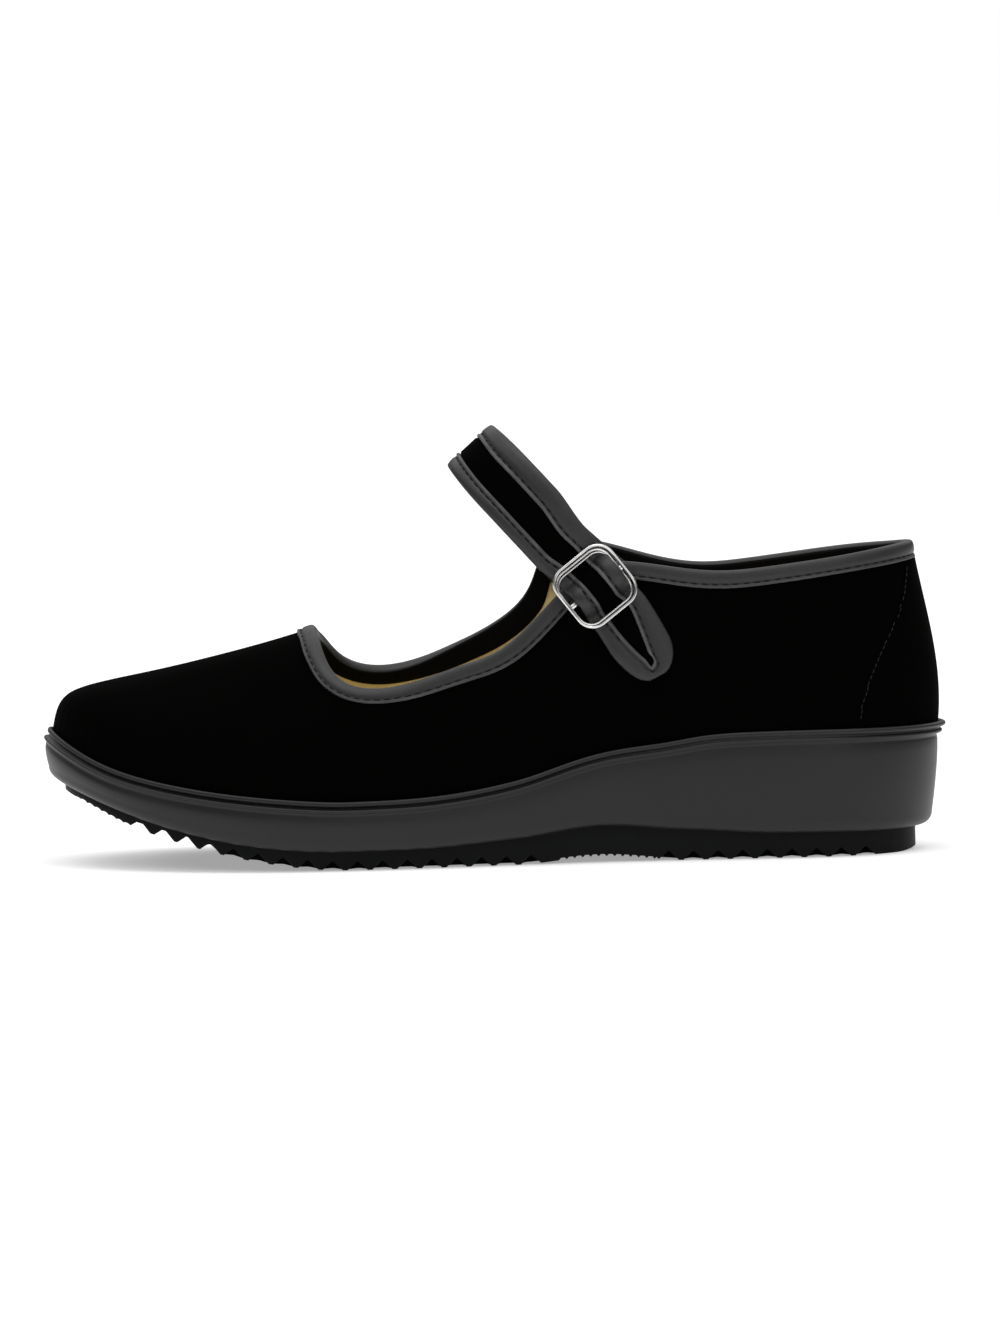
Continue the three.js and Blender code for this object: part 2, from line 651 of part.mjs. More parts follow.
const buckleX = BUCKLE_SEAT.x * LAST_LENGTH;
const buckleZ = rimHeight(buckleX) + BUCKLE_SEAT.high * QUARTER_HEIGHT;
const buckleSeat = quarterAt(buckleX, buckleZ, 1);

// The buckle's frame: origin at its middle, its length down the tail, its width forward and down, its face outwards.
const buckleFace = buckleSeat.normal;
const downTail = climb.clone().negate().applyAxisAngle(outwards, THREE.MathUtils.degToRad(-BUCKLE_TURN));
const buckleLengthwise = downTail.addScaledVector(buckleFace, -downTail.dot(buckleFace)).normalize();
const buckleWidthwise = buckleFace.clone().cross(buckleLengthwise).normalize();

function byBuckle(along, aside, height) {
  return buckleSeat.point
    .clone()
    .addScaledVector(buckleLengthwise, along)
    .addScaledVector(buckleWidthwise, aside)
    .addScaledVector(buckleFace, height);
}

// Where the strap's middle lies, as a row of stops from inside the inner quarter over the foot to the tip.
function strapStops() {
  const rootX = STRAP_ROOT.x * LAST_LENGTH;
  const rootZ = rimHeight(rootX) + STRAP_ROOT.high * QUARTER_HEIGHT;
  const inside = -(UPPER_WALL + SEAT_GAP + TAPE_THICKNESS + SEAT_GAP + TAPED_HALF);
  const onInner = (down) => {
    const { point, normal } = quarterAt(rootX - climb.x * down, rootZ - climb.z * down, -1);
    return point.addScaledVector(normal, inside);
  };
  const stops = [onInner(STRAP_ROOT_DEPTH), onInner(STRAP_ROOT_DEPTH / 2), onInner(0)];
  const from = onInner(0);
  const end = BUCKLE_LENGTH / 2 - BUCKLE_END_WIDTH / 2;
  const landing = byBuckle(-end - 2.4, 0, ON_TAPE + 0.3);
  const reach = landing.clone().sub(from).dot(climb);
  for (const turn of [22, 42, 62, 80, 98, 116, 136, 157]) {
    const angle = THREE.MathUtils.degToRad(turn);
    const share = (1 - Math.sign(Math.cos(angle)) * Math.abs(Math.cos(angle)) ** 0.9) / 2;
    const height = STRAP_RISE - reach * share;
    const point = from.clone().lerp(landing, share);
    stops.push(point.addScaledVector(climb, height * Math.sin(angle) ** 0.85));
  }
  const overBar = [
    [-end - 2.4, ON_TAPE + 0.2],
    [-end, ON_TAPE],
    [-end * 0.78, ON_TAPE],
    [-end * 0.61, mix(ON_TAPE, OVER_BAR, 0.05)],
    [-end * 0.45, mix(ON_TAPE, OVER_BAR, 0.36)],
    [-end * 0.3, mix(ON_TAPE, OVER_BAR, 0.76)],
    [-end * 0.14, mix(ON_TAPE, OVER_BAR, 0.97)],
    [0, OVER_BAR],
    [end * 0.14, mix(ON_QUARTER, OVER_BAR, 0.97)],
    [end * 0.3, mix(ON_QUARTER, OVER_BAR, 0.75)],
    [end * 0.45, mix(ON_QUARTER, OVER_BAR, 0.35)],
    [end * 0.61, mix(ON_QUARTER, OVER_BAR, 0.05)],
    [end * 0.78, ON_QUARTER],
    [end, ON_QUARTER],
  ];
  overBar.forEach(([along, height]) => stops.push(byBuckle(along, 0, height)));
  const turns = TAIL_TURN.length;
  let side = byBuckle(end, 0, 0);
  TAIL_TURN.forEach((extra) => {
    const turn = THREE.MathUtils.degToRad(STRAP_LEAN + extra);
    side = side.clone();
    side.x -= (Math.sin(turn) * STRAP_TAIL) / turns;
    side.z -= (Math.cos(turn) * STRAP_TAIL) / turns;
    const { point, normal } = quarterAt(side.x, side.z, 1);
    stops.push(point.addScaledVector(normal, ON_QUARTER));
  });
  return stops;
}

const strapLine = new THREE.CatmullRomCurve3(strapStops(), false, "centripetal");
strapLine.arcLengthDivisions = 600;
const strapLength = strapLine.getLength();
const rootTop = STRAP_ROOT_DEPTH;
const tailTop = strapLength - STRAP_TAIL;

// The strap's own frame at a length from its root: middle, width direction and the normal towards the foot.
const strapFrames = new Map();

function strapFrame(length) {
  const key = length.toFixed(4);
  if (!strapFrames.has(key)) {
    const t = THREE.MathUtils.clamp(length / strapLength, 0, 1);
    const middle = strapLine.getPointAt(t);
    const ahead = strapLine.getTangentAt(t);
    const width = across.clone().addScaledVector(ahead, -across.dot(ahead)).normalize();
    const rooted = 1 - THREE.MathUtils.smoothstep(length, rootTop, rootTop + STRAP_ROOT_EASE);
    const tailed = THREE.MathUtils.smoothstep(length, tailTop - BUCKLE_LENGTH * 1.4, tailTop - BUCKLE_LENGTH);
    const side = tailed > 0 ? 1 : -1;
    const seatY = quarterAt(middle.x, middle.z, side).point.y;
    const normal = ahead.clone().cross(width).normalize();
    strapFrames.set(key, { middle, width, normal, hold: Math.max(rooted, tailed), side, seatY });
  }
  return strapFrames.get(key);
}

// A point of the strap: near its root and along its tail it follows the quarter it lies on.
function strapPoint(length, aside, out) {
  const { middle, width, normal, hold, side, seatY } = strapFrame(length);
  const free = middle.clone().addScaledVector(width, aside);
  const squared = 1 - THREE.MathUtils.smoothstep(length, 0, rootTop * 2);
  free.addScaledVector(climb, squared * Math.min(0, aside) * Math.tan(lean));
  const fall = hold > 0 ? quarterAt(free.x, free.z, side).point.y - seatY - (free.y - middle.y) : 0;
  return free.addScaledVector(normal, out + hold * fall * normal.y);
}

// Half the strap's core width at a length from the root, on its rear (-1) or front (+1) edge: the leg over the outer
// side spreads a little, and its rear edge draws in where it goes under the buckle.
function strapHalf(length, edge) {
  const core = STRAP_WIDTH / 2 - SEAT_GAP - STRAP_TAPE_THICKNESS;
  const toTip = strapLength - length;
  if (toTip < STRAP_TIP) return core * Math.sqrt(Math.max(0, 1 - (1 - toTip / STRAP_TIP) ** 2));
  const flaring = Math.max(0, 1 - length / (STRAP_ROOT_DEPTH * 2.6));
  const step = THREE.MathUtils.smoothstep;
  const fromTail = (length - tailTop) / BUCKLE_LENGTH;
  const spread = step(length, strapLength * 0.35, strapLength * 0.55) * (1 - step(fromTail, -1.5, -1));
  const neck = edge > 0 ? 0 : STRAP_NECK * step(fromTail, -2.1, -1.45) * (1 - step(fromTail, -1.15, -0.6));
  const swell = (edge > 0 ? STRAP_FRONT_SWELL : STRAP_REAR_SWELL) * spread - neck;
  return core + swell + (edge > 0 ? 0.1 : 1) * STRAP_ROOT_FLARE * flaring ** 2;
}

const tipStart = strapLength - STRAP_TIP;
const stopCount = strapLine.points.length;
const stopLengths = strapLine.getLengths(10 * (stopCount - 1)).filter((length, k) => k % 10 === 0);
const strapStations = [];
stopLengths.forEach((length, k) => {
  if (k > 0 && length - stopLengths[k - 1] > BUCKLE_LENGTH / 4) strapStations.push((length + stopLengths[k - 1]) / 2);
  strapStations.push(length);
});
while (strapStations.at(-1) > tipStart - 1) strapStations.pop();
strapStations.push(tipStart);
const tipStations = [15, 30, 45, 58, 70, 80].map((turn) => {
  return tipStart + STRAP_TIP * Math.sin(THREE.MathUtils.degToRad(turn));
});

function strap() {
  const half = STRAP_CORE / 2;
  return loft(
    [...strapStations, ...tipStations].map((length) => {
      const [rear, front] = [-strapHalf(length, -1), strapHalf(length, 1)];
      return [[rear, half], [front, half], [front, -half], [rear, -half]].map(([side, out]) => {
        return strapPoint(length, side, out);
      });
    }),
    false,
  );
}

// The tape round the strap's edge, from the root along the front edge, round the tip and back along the rear edge.
function strapTape() {
  const half = STRAP_CORE / 2 + SEAT_GAP;
  const full = half + STRAP_TAPE_THICKNESS;
  const edge = -SEAT_GAP - STRAP_TAPE_THICKNESS;
  const lap = STRAP_TAPE_WIDTH + edge;
  const section = [
    [lap, full], [edge, full], [edge, -full], [lap, -full],
    [lap, -half], [-SEAT_GAP, -half], [-SEAT_GAP, half], [lap, half],
  ];
  const outline = [
    ...strapStations.map((length) => [length, strapHalf(length, 1)]),
    ...tipStations.map((length) => [length, strapHalf(length, 1)]),
    [strapLength, 0],
    ...tipStations.toReversed().map((length) => [length, -strapHalf(length, -1)]),
    ...strapStations.toReversed().map((length) => [length, -strapHalf(length, -1)]),
  ];
  const rings = outline.map(([length, side], k) => {
    const before = outline[Math.max(0, k - 1)];
    const after = outline[Math.min(outline.length - 1, k + 1)];
    const run = new THREE.Vector2(after[0] - before[0], after[1] - before[1]).normalize();
    const inward = new THREE.Vector2(run.y, -run.x);
    return section.map(([q, out]) => strapPoint(length + inward.x * q, side + inward.y * q, out));
  });
  return loft(rings, false);
}

// The buckle: a rounded square of double bead, wider at its two end bars, with a round bar across its middle.
function buckle() {
  const halfLong = (BUCKLE_LENGTH - BUCKLE_END_WIDTH) / 2;
  const halfWide = (BUCKLE_WIDTH - BUCKLE_SIDE_WIDTH) / 2;
  const round = BUCKLE_CORNER - BUCKLE_SIDE_WIDTH / 2;
  const slope = (ON_QUARTER - ON_TAPE) / (2 * halfLong);
  const thick = BUCKLE_THICKNESS / 2;
  const ease = 0.4;
  const rings = [];
  for (let corner = 0; corner < 4; corner += 1) {
    for (let step = 0; step <= 5; step += 1) {
      const turn = (corner * Math.PI) / 2 + (step * Math.PI) / 10;
      const [c, d] = [Math.cos(turn), Math.sin(turn)];
      const signLong = corner === 0 || corner === 3 ? 1 : -1;
      const signWide = corner < 2 ? 1 : -1;
      const half = mix(BUCKLE_SIDE_WIDTH, BUCKLE_END_WIDTH, c * c) / 2;
      const bead = [
        [-half, ease - thick], [-half, thick - ease], [ease - half, thick], [0, thick - ease],
        [half - ease, thick], [half, thick - ease], [half, ease - thick], [half - ease, -thick], [ease - half, -thick],
      ];
      rings.push(
        bead.map(([wide, high]) => {
          const along = signLong * (halfLong - round) + c * (round + wide);
          const aside = signWide * (halfWide - round) + d * (round + wide);
          return byBuckle(along, aside, BUCKLE_HEIGHT + slope * along + high);
        }),
      );
    }
  }
  const bar = new THREE.CylinderGeometry(BUCKLE_THICKNESS / 2, BUCKLE_THICKNESS / 2, 2 * halfWide, 12);
  const turned = new THREE.Matrix4().makeBasis(buckleLengthwise, buckleWidthwise, buckleFace);
  bar.applyMatrix4(turned.setPosition(byBuckle(0, 0, BAR_HEIGHT)));
  return geometryOf(solid(loft(rings, true)).add(solid(bar)));
}

// The tab that holds the buckle's middle bar: a loop round the bar on a foot stitched to the quarter.
function buckleKeeper() {
  const low = SEAT_GAP + 0.1;
  const high = low + KEEPER_THICKNESS;
  const [start, foot] = [0.8, KEEPER_HALF * 2.6];
  const neck = start + KEEPER_THICKNESS * 2;
  const shape = new THREE.Shape();
  shape.moveTo(start, low);
  shape.lineTo(foot, low);
  shape.lineTo(foot, high);
  shape.lineTo(neck, high + 0.4);
  shape.absarc(0, BAR_HEIGHT, KEEPER_HALF, -0.9, Math.PI + 0.9, false);
  shape.lineTo(start, high);
  shape.closePath();
  const eye = new THREE.Path();
  eye.absarc(0, BAR_HEIGHT, BUCKLE_THICKNESS / 2 + SEAT_GAP, 0, Math.PI * 2, true);
  shape.holes.push(eye);
  const tab = new THREE.ExtrudeGeometry(shape, { depth: KEEPER_WIDTH, bevelEnabled: false, curveSegments: 9 });
  tab.translate(0, 0, -KEEPER_WIDTH / 2);
  const turned = new THREE.Matrix4().makeBasis(buckleLengthwise, buckleFace, buckleWidthwise.clone().negate());
  return tab.applyMatrix4(turned.setPosition(buckleSeat.point));
}

const group = new THREE.Group();

function add(name, geometry, color, roughness, metalness) {
  const material = new THREE.MeshStandardMaterial({ color, roughness, metalness });
  const mesh = new THREE.Mesh(geometry, material);
  mesh.name = name;
  group.add(mesh);
  return mesh;
}

const VELVET = 0x070708;
const TAPE = 0x2b2b2d;
add("sole", sole(), 0x2c2c2e, 0.5, 0);
add("upper", upper(), VELVET, 0.95, 0);
add("insole", insole(), 0xcbb78a, 0.9, 0);
add("topline_tape", toplineTape(), TAPE, 0.5, 0);
add("heel_stay", heelStay(), VELVET, 0.95, 0);
add("strap", strap(), VELVET, 0.95, 0);
add("strap_tape", strapTape(), TAPE, 0.5, 0);
add("buckle", buckle(), 0xc9c9cb, 0.2, 1);
add("buckle_keeper", buckleKeeper(), TAPE, 0.5, 0);

const whole = new THREE.Box3().setFromObject(group);
const middle = whole.getCenter(new THREE.Vector3());
group.position.set(-middle.x, -middle.y, -whole.min.z);

export default group;
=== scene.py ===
"""The looks of a left velvet mary jane flat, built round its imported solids.

Lengths are millimetres in the last's own frame until a mesh is placed: x runs from heel to toe, y to the
outer side and z up. Places round the shoe, called u, are counted in rows of the tables, from the toe tip
along the outer side to the heel and back along the inner side.
"""

import bisect
import json
import logging
import math
from dataclasses import dataclass, field
from enum import Enum
from typing import Callable, Sequence

import bmesh
import bpy
from mathutils import Matrix, Vector, noise

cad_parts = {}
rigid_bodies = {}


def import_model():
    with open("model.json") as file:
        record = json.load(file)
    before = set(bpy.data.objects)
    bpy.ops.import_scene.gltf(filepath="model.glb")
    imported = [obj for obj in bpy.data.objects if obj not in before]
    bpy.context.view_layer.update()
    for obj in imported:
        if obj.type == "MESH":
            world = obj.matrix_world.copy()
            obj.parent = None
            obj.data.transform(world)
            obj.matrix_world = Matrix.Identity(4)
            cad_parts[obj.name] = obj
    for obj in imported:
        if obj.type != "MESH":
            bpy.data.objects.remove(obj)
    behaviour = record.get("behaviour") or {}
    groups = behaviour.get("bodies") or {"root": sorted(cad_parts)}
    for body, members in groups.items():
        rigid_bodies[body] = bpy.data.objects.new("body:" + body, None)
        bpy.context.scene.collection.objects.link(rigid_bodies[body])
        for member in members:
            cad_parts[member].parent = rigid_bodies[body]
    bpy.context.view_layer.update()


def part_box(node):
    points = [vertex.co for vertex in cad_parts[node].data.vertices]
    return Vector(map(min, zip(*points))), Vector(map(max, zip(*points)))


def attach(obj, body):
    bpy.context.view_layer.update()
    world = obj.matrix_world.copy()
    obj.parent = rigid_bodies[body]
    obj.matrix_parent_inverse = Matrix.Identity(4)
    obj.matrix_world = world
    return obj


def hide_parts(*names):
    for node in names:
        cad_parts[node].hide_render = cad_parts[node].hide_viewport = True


LOG = logging.getLogger("mary_jane")
MM = 0.001
UP = Vector((0.0, 0.0, 1.0))
OUTWARDS = Vector((0.0, 1.0, 0.0))

# The last's outline at the rim, toe to heel: x as a share of the length, the width that the sides are
# shares of, the outer side and the inner side.
OUTLINE = (
    (1.0, "ball", -0.06, 0.06),
    (0.987, "ball", 0.101, 0.208),
    (0.949, "ball", 0.244, 0.345),
    (0.888, "ball", 0.375, 0.452),
    (0.807, "ball", 0.462, 0.502),
    (0.7175, "ball", 0.5, 0.492),
    (0.628, "ball", 0.488, 0.435),
    (0.547, "ball", 0.45, 0.369),
    (0.4735, "heel", 0.595, 0.474),
    (0.4167, "heel", 0.557, 0.448),
    (0.3598, "heel", 0.531, 0.445),
    (0.2785, "heel", 0.51, 0.471),
    (0.181, "heel", 0.503, 0.497),
    (0.0955, "heel", 0.466, 0.457),
    (0.0305, "heel", 0.302, 0.29),
    (0.0, "heel", 0.009, -0.009),
)

# The topline over the same stations: x, side and height, as shares of the length, the width and the quarter.
OUTER_TOPLINE = (
    (0.701, -0.012, 0.902),
    (0.7, 0.054, 0.894),
    (0.697, 0.119, 0.864),
    (0.692, 0.196, 0.796),
    (0.678, 0.28, 0.68),
    (0.648, 0.349, 0.606),
    (0.596, 0.379, 0.62),
    (0.535, 0.379, 0.688),
    (0.476, 0.522, 0.77),
    (0.423, 0.49, 0.946),
    (0.376, 0.462, 1.035),
    (0.278, 0.434, 0.922),
    (0.185, 0.417, 0.902),
    (0.107, 0.349, 0.946),
    (0.0495, 0.212, 0.988),
    (0.0268, 0.003, 1.004),
)
INNER_TOPLINE = (
    (0.701, 0.012, 0.902),
    (0.7, 0.077, 0.892),
    (0.697, 0.137, 0.864),
    (0.69, 0.202, 0.82),
    (0.674, 0.268, 0.726),
    (0.642, 0.315, 0.654),
    (0.593, 0.339, 0.666),
    (0.537, 0.337, 0.748),
    (0.486, 0.474, 0.84),
    (0.4548, 0.458, 0.98),
    (0.428, 0.445, 1.17),
    (0.318, 0.42, 0.979),
    (0.212, 0.415, 0.894),
    (0.107, 0.342, 0.956),
    (0.0502, 0.205, 0.986),
    (0.0268, -0.003, 1.004),
)

# How each rib leaves the rim (stand, bulge) and reaches the topline (reach, drop), and the sole below it
# (flare, draft, bead).
RIB = (
    (0.62, -0.034, 0.91, 0.74, 1.0, 0.5, 1.0),
    (0.6, -0.028, 0.89, 0.72, 1.0, 0.48, 1.0),
    (0.52, -0.008, 0.82, 0.65, 1.0, 0.42, 1.0),
    (0.46, 0.011, 0.7, 0.56, 1.0, 0.36, 1.0),
    (0.44, 0.022, 0.6, 0.47, 1.0, 0.31, 1.0),
    (0.44, 0.025, 0.52, 0.37, 1.0, 0.31, 1.0),
    (0.42, 0.025, 0.58, 0.3, 0.96, 0.31, 1.0),
    (0.4, 0.022, 0.6, 0.28, 0.92, 0.31, 1.0),
    (0.38, 0.018, 0.6, 0.32, 0.88, 0.31, 1.0),
    (0.36, 0.016, 0.6, 0.34, 0.85, 0.31, 1.0),
    (0.36, 0.014, 0.6, 0.34, 0.81, 0.31, 1.0),
    (0.36, 0.014, 0.55, 0.33, 0.77, 0.35, 1.0),
    (0.36, 0.014, 0.5, 0.33, 0.69, 0.42, 1.0),
    (0.36, 0.016, 0.45, 0.33, 0.58, 0.58, 1.1),
    (0.36, 0.019, 0.4, 0.33, 0.38, 0.85, 1.5),
    (0.36, 0.021, 0.38, 0.33, 0.27, 1.0, 1.85),
)

# The sole along its length: x, and shares of the forefoot's height (thin), the wedge and the lip's height.
SOLE_LENGTHWISE = (
    (-0.01, 1, 1, 1.0),
    (0.06, 1, 1, 0.97),
    (0.136, 1, 1, 1.0),
    (0.205, 1, 0.988, 1.04),
    (0.272, 1, 0.927, 1.2),
    (0.3175, 1, 0.8, 1.25),
    (0.385, 1, 0.58, 1.22),
    (0.431, 1, 0.43, 1.15),
    (0.499, 1, 0.2, 0.98),
    (0.578, 1, 0.04, 0.78),
    (0.656, 1, 0, 0.75),
    (0.726, 0.98, 0, 0.67),
    (0.782, 0.93, 0, 0.57),
    (0.838, 0.86, 0, 0.49),
    (0.892, 0.79, 0, 0.44),
    (0.95, 0.77, 0, 0.42),
    (1.01, 0.91, 0, 0.4),
)

# The heel stay from the rim to the tape: the share of the way up, and half its width in rows.
STAY_SIDES = (
    (0.03, 1.95),
    (0.13, 1.9),
    (0.25, 1.78),
    (0.37, 1.61),
    (0.5, 1.4),
    (0.62, 1.19),
    (0.75, 0.98),
    (0.88, 0.8),
    (1.0, 0.66),
)

HEEL_ROW = len(OUTLINE) - 1
ROWS = 2 * HEEL_ROW


@dataclass(frozen=True)
class ShoeSizes:
    """The driving sizes that the solids were made from, in millimetres."""

    last_length: float = 245.4
    ball_width: float = 84.0
    heel_width: float = 58.0
    quarter_height: float = 50.0
    wall: float = 1.8
    gap: float = 0.3
    heel_height: float = 35.6
    forefoot_height: float = 19.2
    toe_spring: float = 21.0
    spring_start: float = 0.665
    arch_rise: float = 1.6
    rim_depth: float = 5.5
    side_flare: float = 2.6
    side_draft: float = 2.6
    lip_height: float = 6.9
    lip_round: float = 3.4
    tread_step: float = 0.9
    heel_bevel: float = 1.5
    lug_pitch: float = 6.8
    lug_depth: float = 2.6
    lug_flat: float = 1.2
    tread_strip: float = 16.0
    forefoot_lugs: tuple[float, float] = (0.45, 0.905)
    heel_lugs: tuple[float, float] = (0.085, 0.285)


@dataclass(frozen=True)
class StrapSizes:
    """The driving sizes of the strap and its buckle, in millimetres and degrees."""

    width: float = 16.5
    core: float = 1.2
    rise: float = 42.6
    lean: float = 41.5
    root_depth: float = 9.0
    root_flare: float = 4.0
    root_ease: float = 16.0
    tail: float = 20.8
    tip: float = 11.0
    tip_front: float = 1.45
    tip_rear: float = 0.8
    front_swell: float = 1.6
    rear_swell: float = 0.55
    neck: float = 1.4
    tape_width: float = 4.8
    tape_thickness: float = 0.4
    root_x: float = 0.408
    root_high: float = 1.045
    seat_x: float = 0.3805
    seat_high: float = 0.91
    tail_turn: tuple[float, ...] = (-9, -11, -13, -14, -14)
    buckle_length: float = 20.0
    buckle_width: float = 20.4
    buckle_corner: float = 5.6
    end_width: float = 2.3
    side_width: float = 1.5
    buckle_thickness: float = 1.6
    buckle_turn: float = 4.0
    keeper_thickness: float = 0.6
    topline_tape: float = 0.6


def mix(a: float, b: float, share: float) -> float:
    """The number at a share of the way from a to b."""
    return a + (b - a) * share


def clamp(value: float, low: float = 0.0, high: float = 1.0) -> float:
    """The value kept between two bounds."""
    return max(low, min(high, value))


def smoothstep(value: float, low: float, high: float) -> float:
    """A smooth step from 0 at low to 1 at high; low may be the larger."""
    share = clamp((value - low) / (high - low))
    return share * share * (3 - 2 * share)


def hump(value: float, middle: float, width: float) -> float:
    """A soft bump of height 1 at middle that dies out about a width away."""
    return math.exp(-(((value - middle) / width) ** 2))


class Column:
    """A smooth cubic through one column of numbers, closed round the shoe when it has a period."""

    PASSES = 80

    def __init__(self, knots: Sequence[float], values: Sequence[float], period: float = 0.0) -> None:
        """Settles the slopes of the cubic.

        Args:
            knots: where the values stand.
            values: the numbers to run through.
            period: the length of the whole round, or 0 for an open run.
        """
        self.knots = list(knots)
        self.values = list(values)
        self.period = period
        self.count = len(self.values)
        self.slopes = [0.0] * self.count
        for _ in range(self.PASSES):
            for i in range(self.count):
                self.slopes[i] = self.relaxed(i)

    def gap(self, i: int) -> float:
        """The distance from one knot to the next."""
        if not self.period:
            return self.knots[i + 1] - self.knots[i]
        here = i % self.count
        return (self.knots[(here + 1) % self.count] - self.knots[here]) % self.period

    def relaxed(self, i: int) -> float:
        """The slope at a knot that suits its two neighbours."""
        value = self.values
        if not self.period and i == 0:
            return 1.5 * (value[1] - value[0]) / self.gap(0) - 0.5 * self.slopes[1]
        if not self.period and i == self.count - 1:
            return 1.5 * (value[i] - value[i - 1]) / self.gap(i - 1) - 0.5 * self.slopes[i - 1]
        before = self.gap(i - 1)
        after = self.gap(i)
        later = (i + 1) % self.count
        pull = 3 * (value[i] - value[i - 1]) / before**2 + 3 * (value[later] - value[i]) / after**2
        slopes = self.slopes[i - 1] / before + self.slopes[later] / after
        return (pull - slopes) / (2 / before + 2 / after)

    def at(self, row: float) -> float:
        """The value at a place counted in rows, such as 3.5 for halfway between rows 3 and 4."""
        place = row % self.count if self.period else clamp(row, 0, self.count - 1 - 1e-9)
        i = int(place)
        f = place - i
        later = (i + 1) % self.count
        g = 1 - f
        hermite = self.values[i] * (1 + 2 * f) * g * g + self.values[later] * (3 - 2 * f) * f * f
        return hermite + self.gap(i) * f * g * (self.slopes[i] * g - self.slopes[later] * f)

    def along(self, knot: float) -> float:
        """The value at a knot position of an open run."""
        i = clamp(bisect.bisect_left(self.knots, knot) - 1, 0, self.count - 2)
        return self.at(i + (knot - self.knots[i]) / self.gap(i))


def cubic(points: tuple[Vector, Vector, Vector, Vector], t: float) -> Vector:
    """The point at the parameter of a cubic with four control points."""
    a, b, c, d = points
    s = 1 - t
    return a * (s * s * s) + b * (3 * s * s * t) + c * (3 * s * t * t) + d * (t * t * t)


class Measured:
    """A curve that is read by its length."""

    DIVISIONS = 60

    def measure(self) -> None:
        """Measures the curve in short straight steps."""
        steps = [self.bare(k / self.DIVISIONS) for k in range(self.DIVISIONS + 1)]
        self.lengths = [0.0]
        for before, after in zip(steps, steps[1:]):
            self.lengths.append(self.lengths[-1] + (after - before).length)
        self.length = self.lengths[-1]

    def bare(self, t: float) -> Vector:
        """The point at the curve's own parameter, from 0 to 1."""
        raise NotImplementedError

    def parameter(self, length: float) -> float:
        """The curve's own parameter at a length from its start."""
        target = clamp(length, 0, self.length)
        i = min(bisect.bisect_right(self.lengths, target), self.DIVISIONS) - 1
        span = self.lengths[i + 1] - self.lengths[i]
        return (i + (target - self.lengths[i]) / span) / self.DIVISIONS


class Rib(Measured):
    """One cubic curve from the rim of the sole to the topline."""

    def __init__(self, points: tuple[Vector, Vector, Vector, Vector]) -> None:
        """Measures the curve through its four control points."""
        self.points = points
        self.measure()

    def bare(self, t: float) -> Vector:
        """The point at the curve's own parameter."""
        return cubic(self.points, t)

    def at(self, share: float) -> Vector:
        """The point at a share of the curve's length."""
        return self.bare(self.parameter(share * self.length))


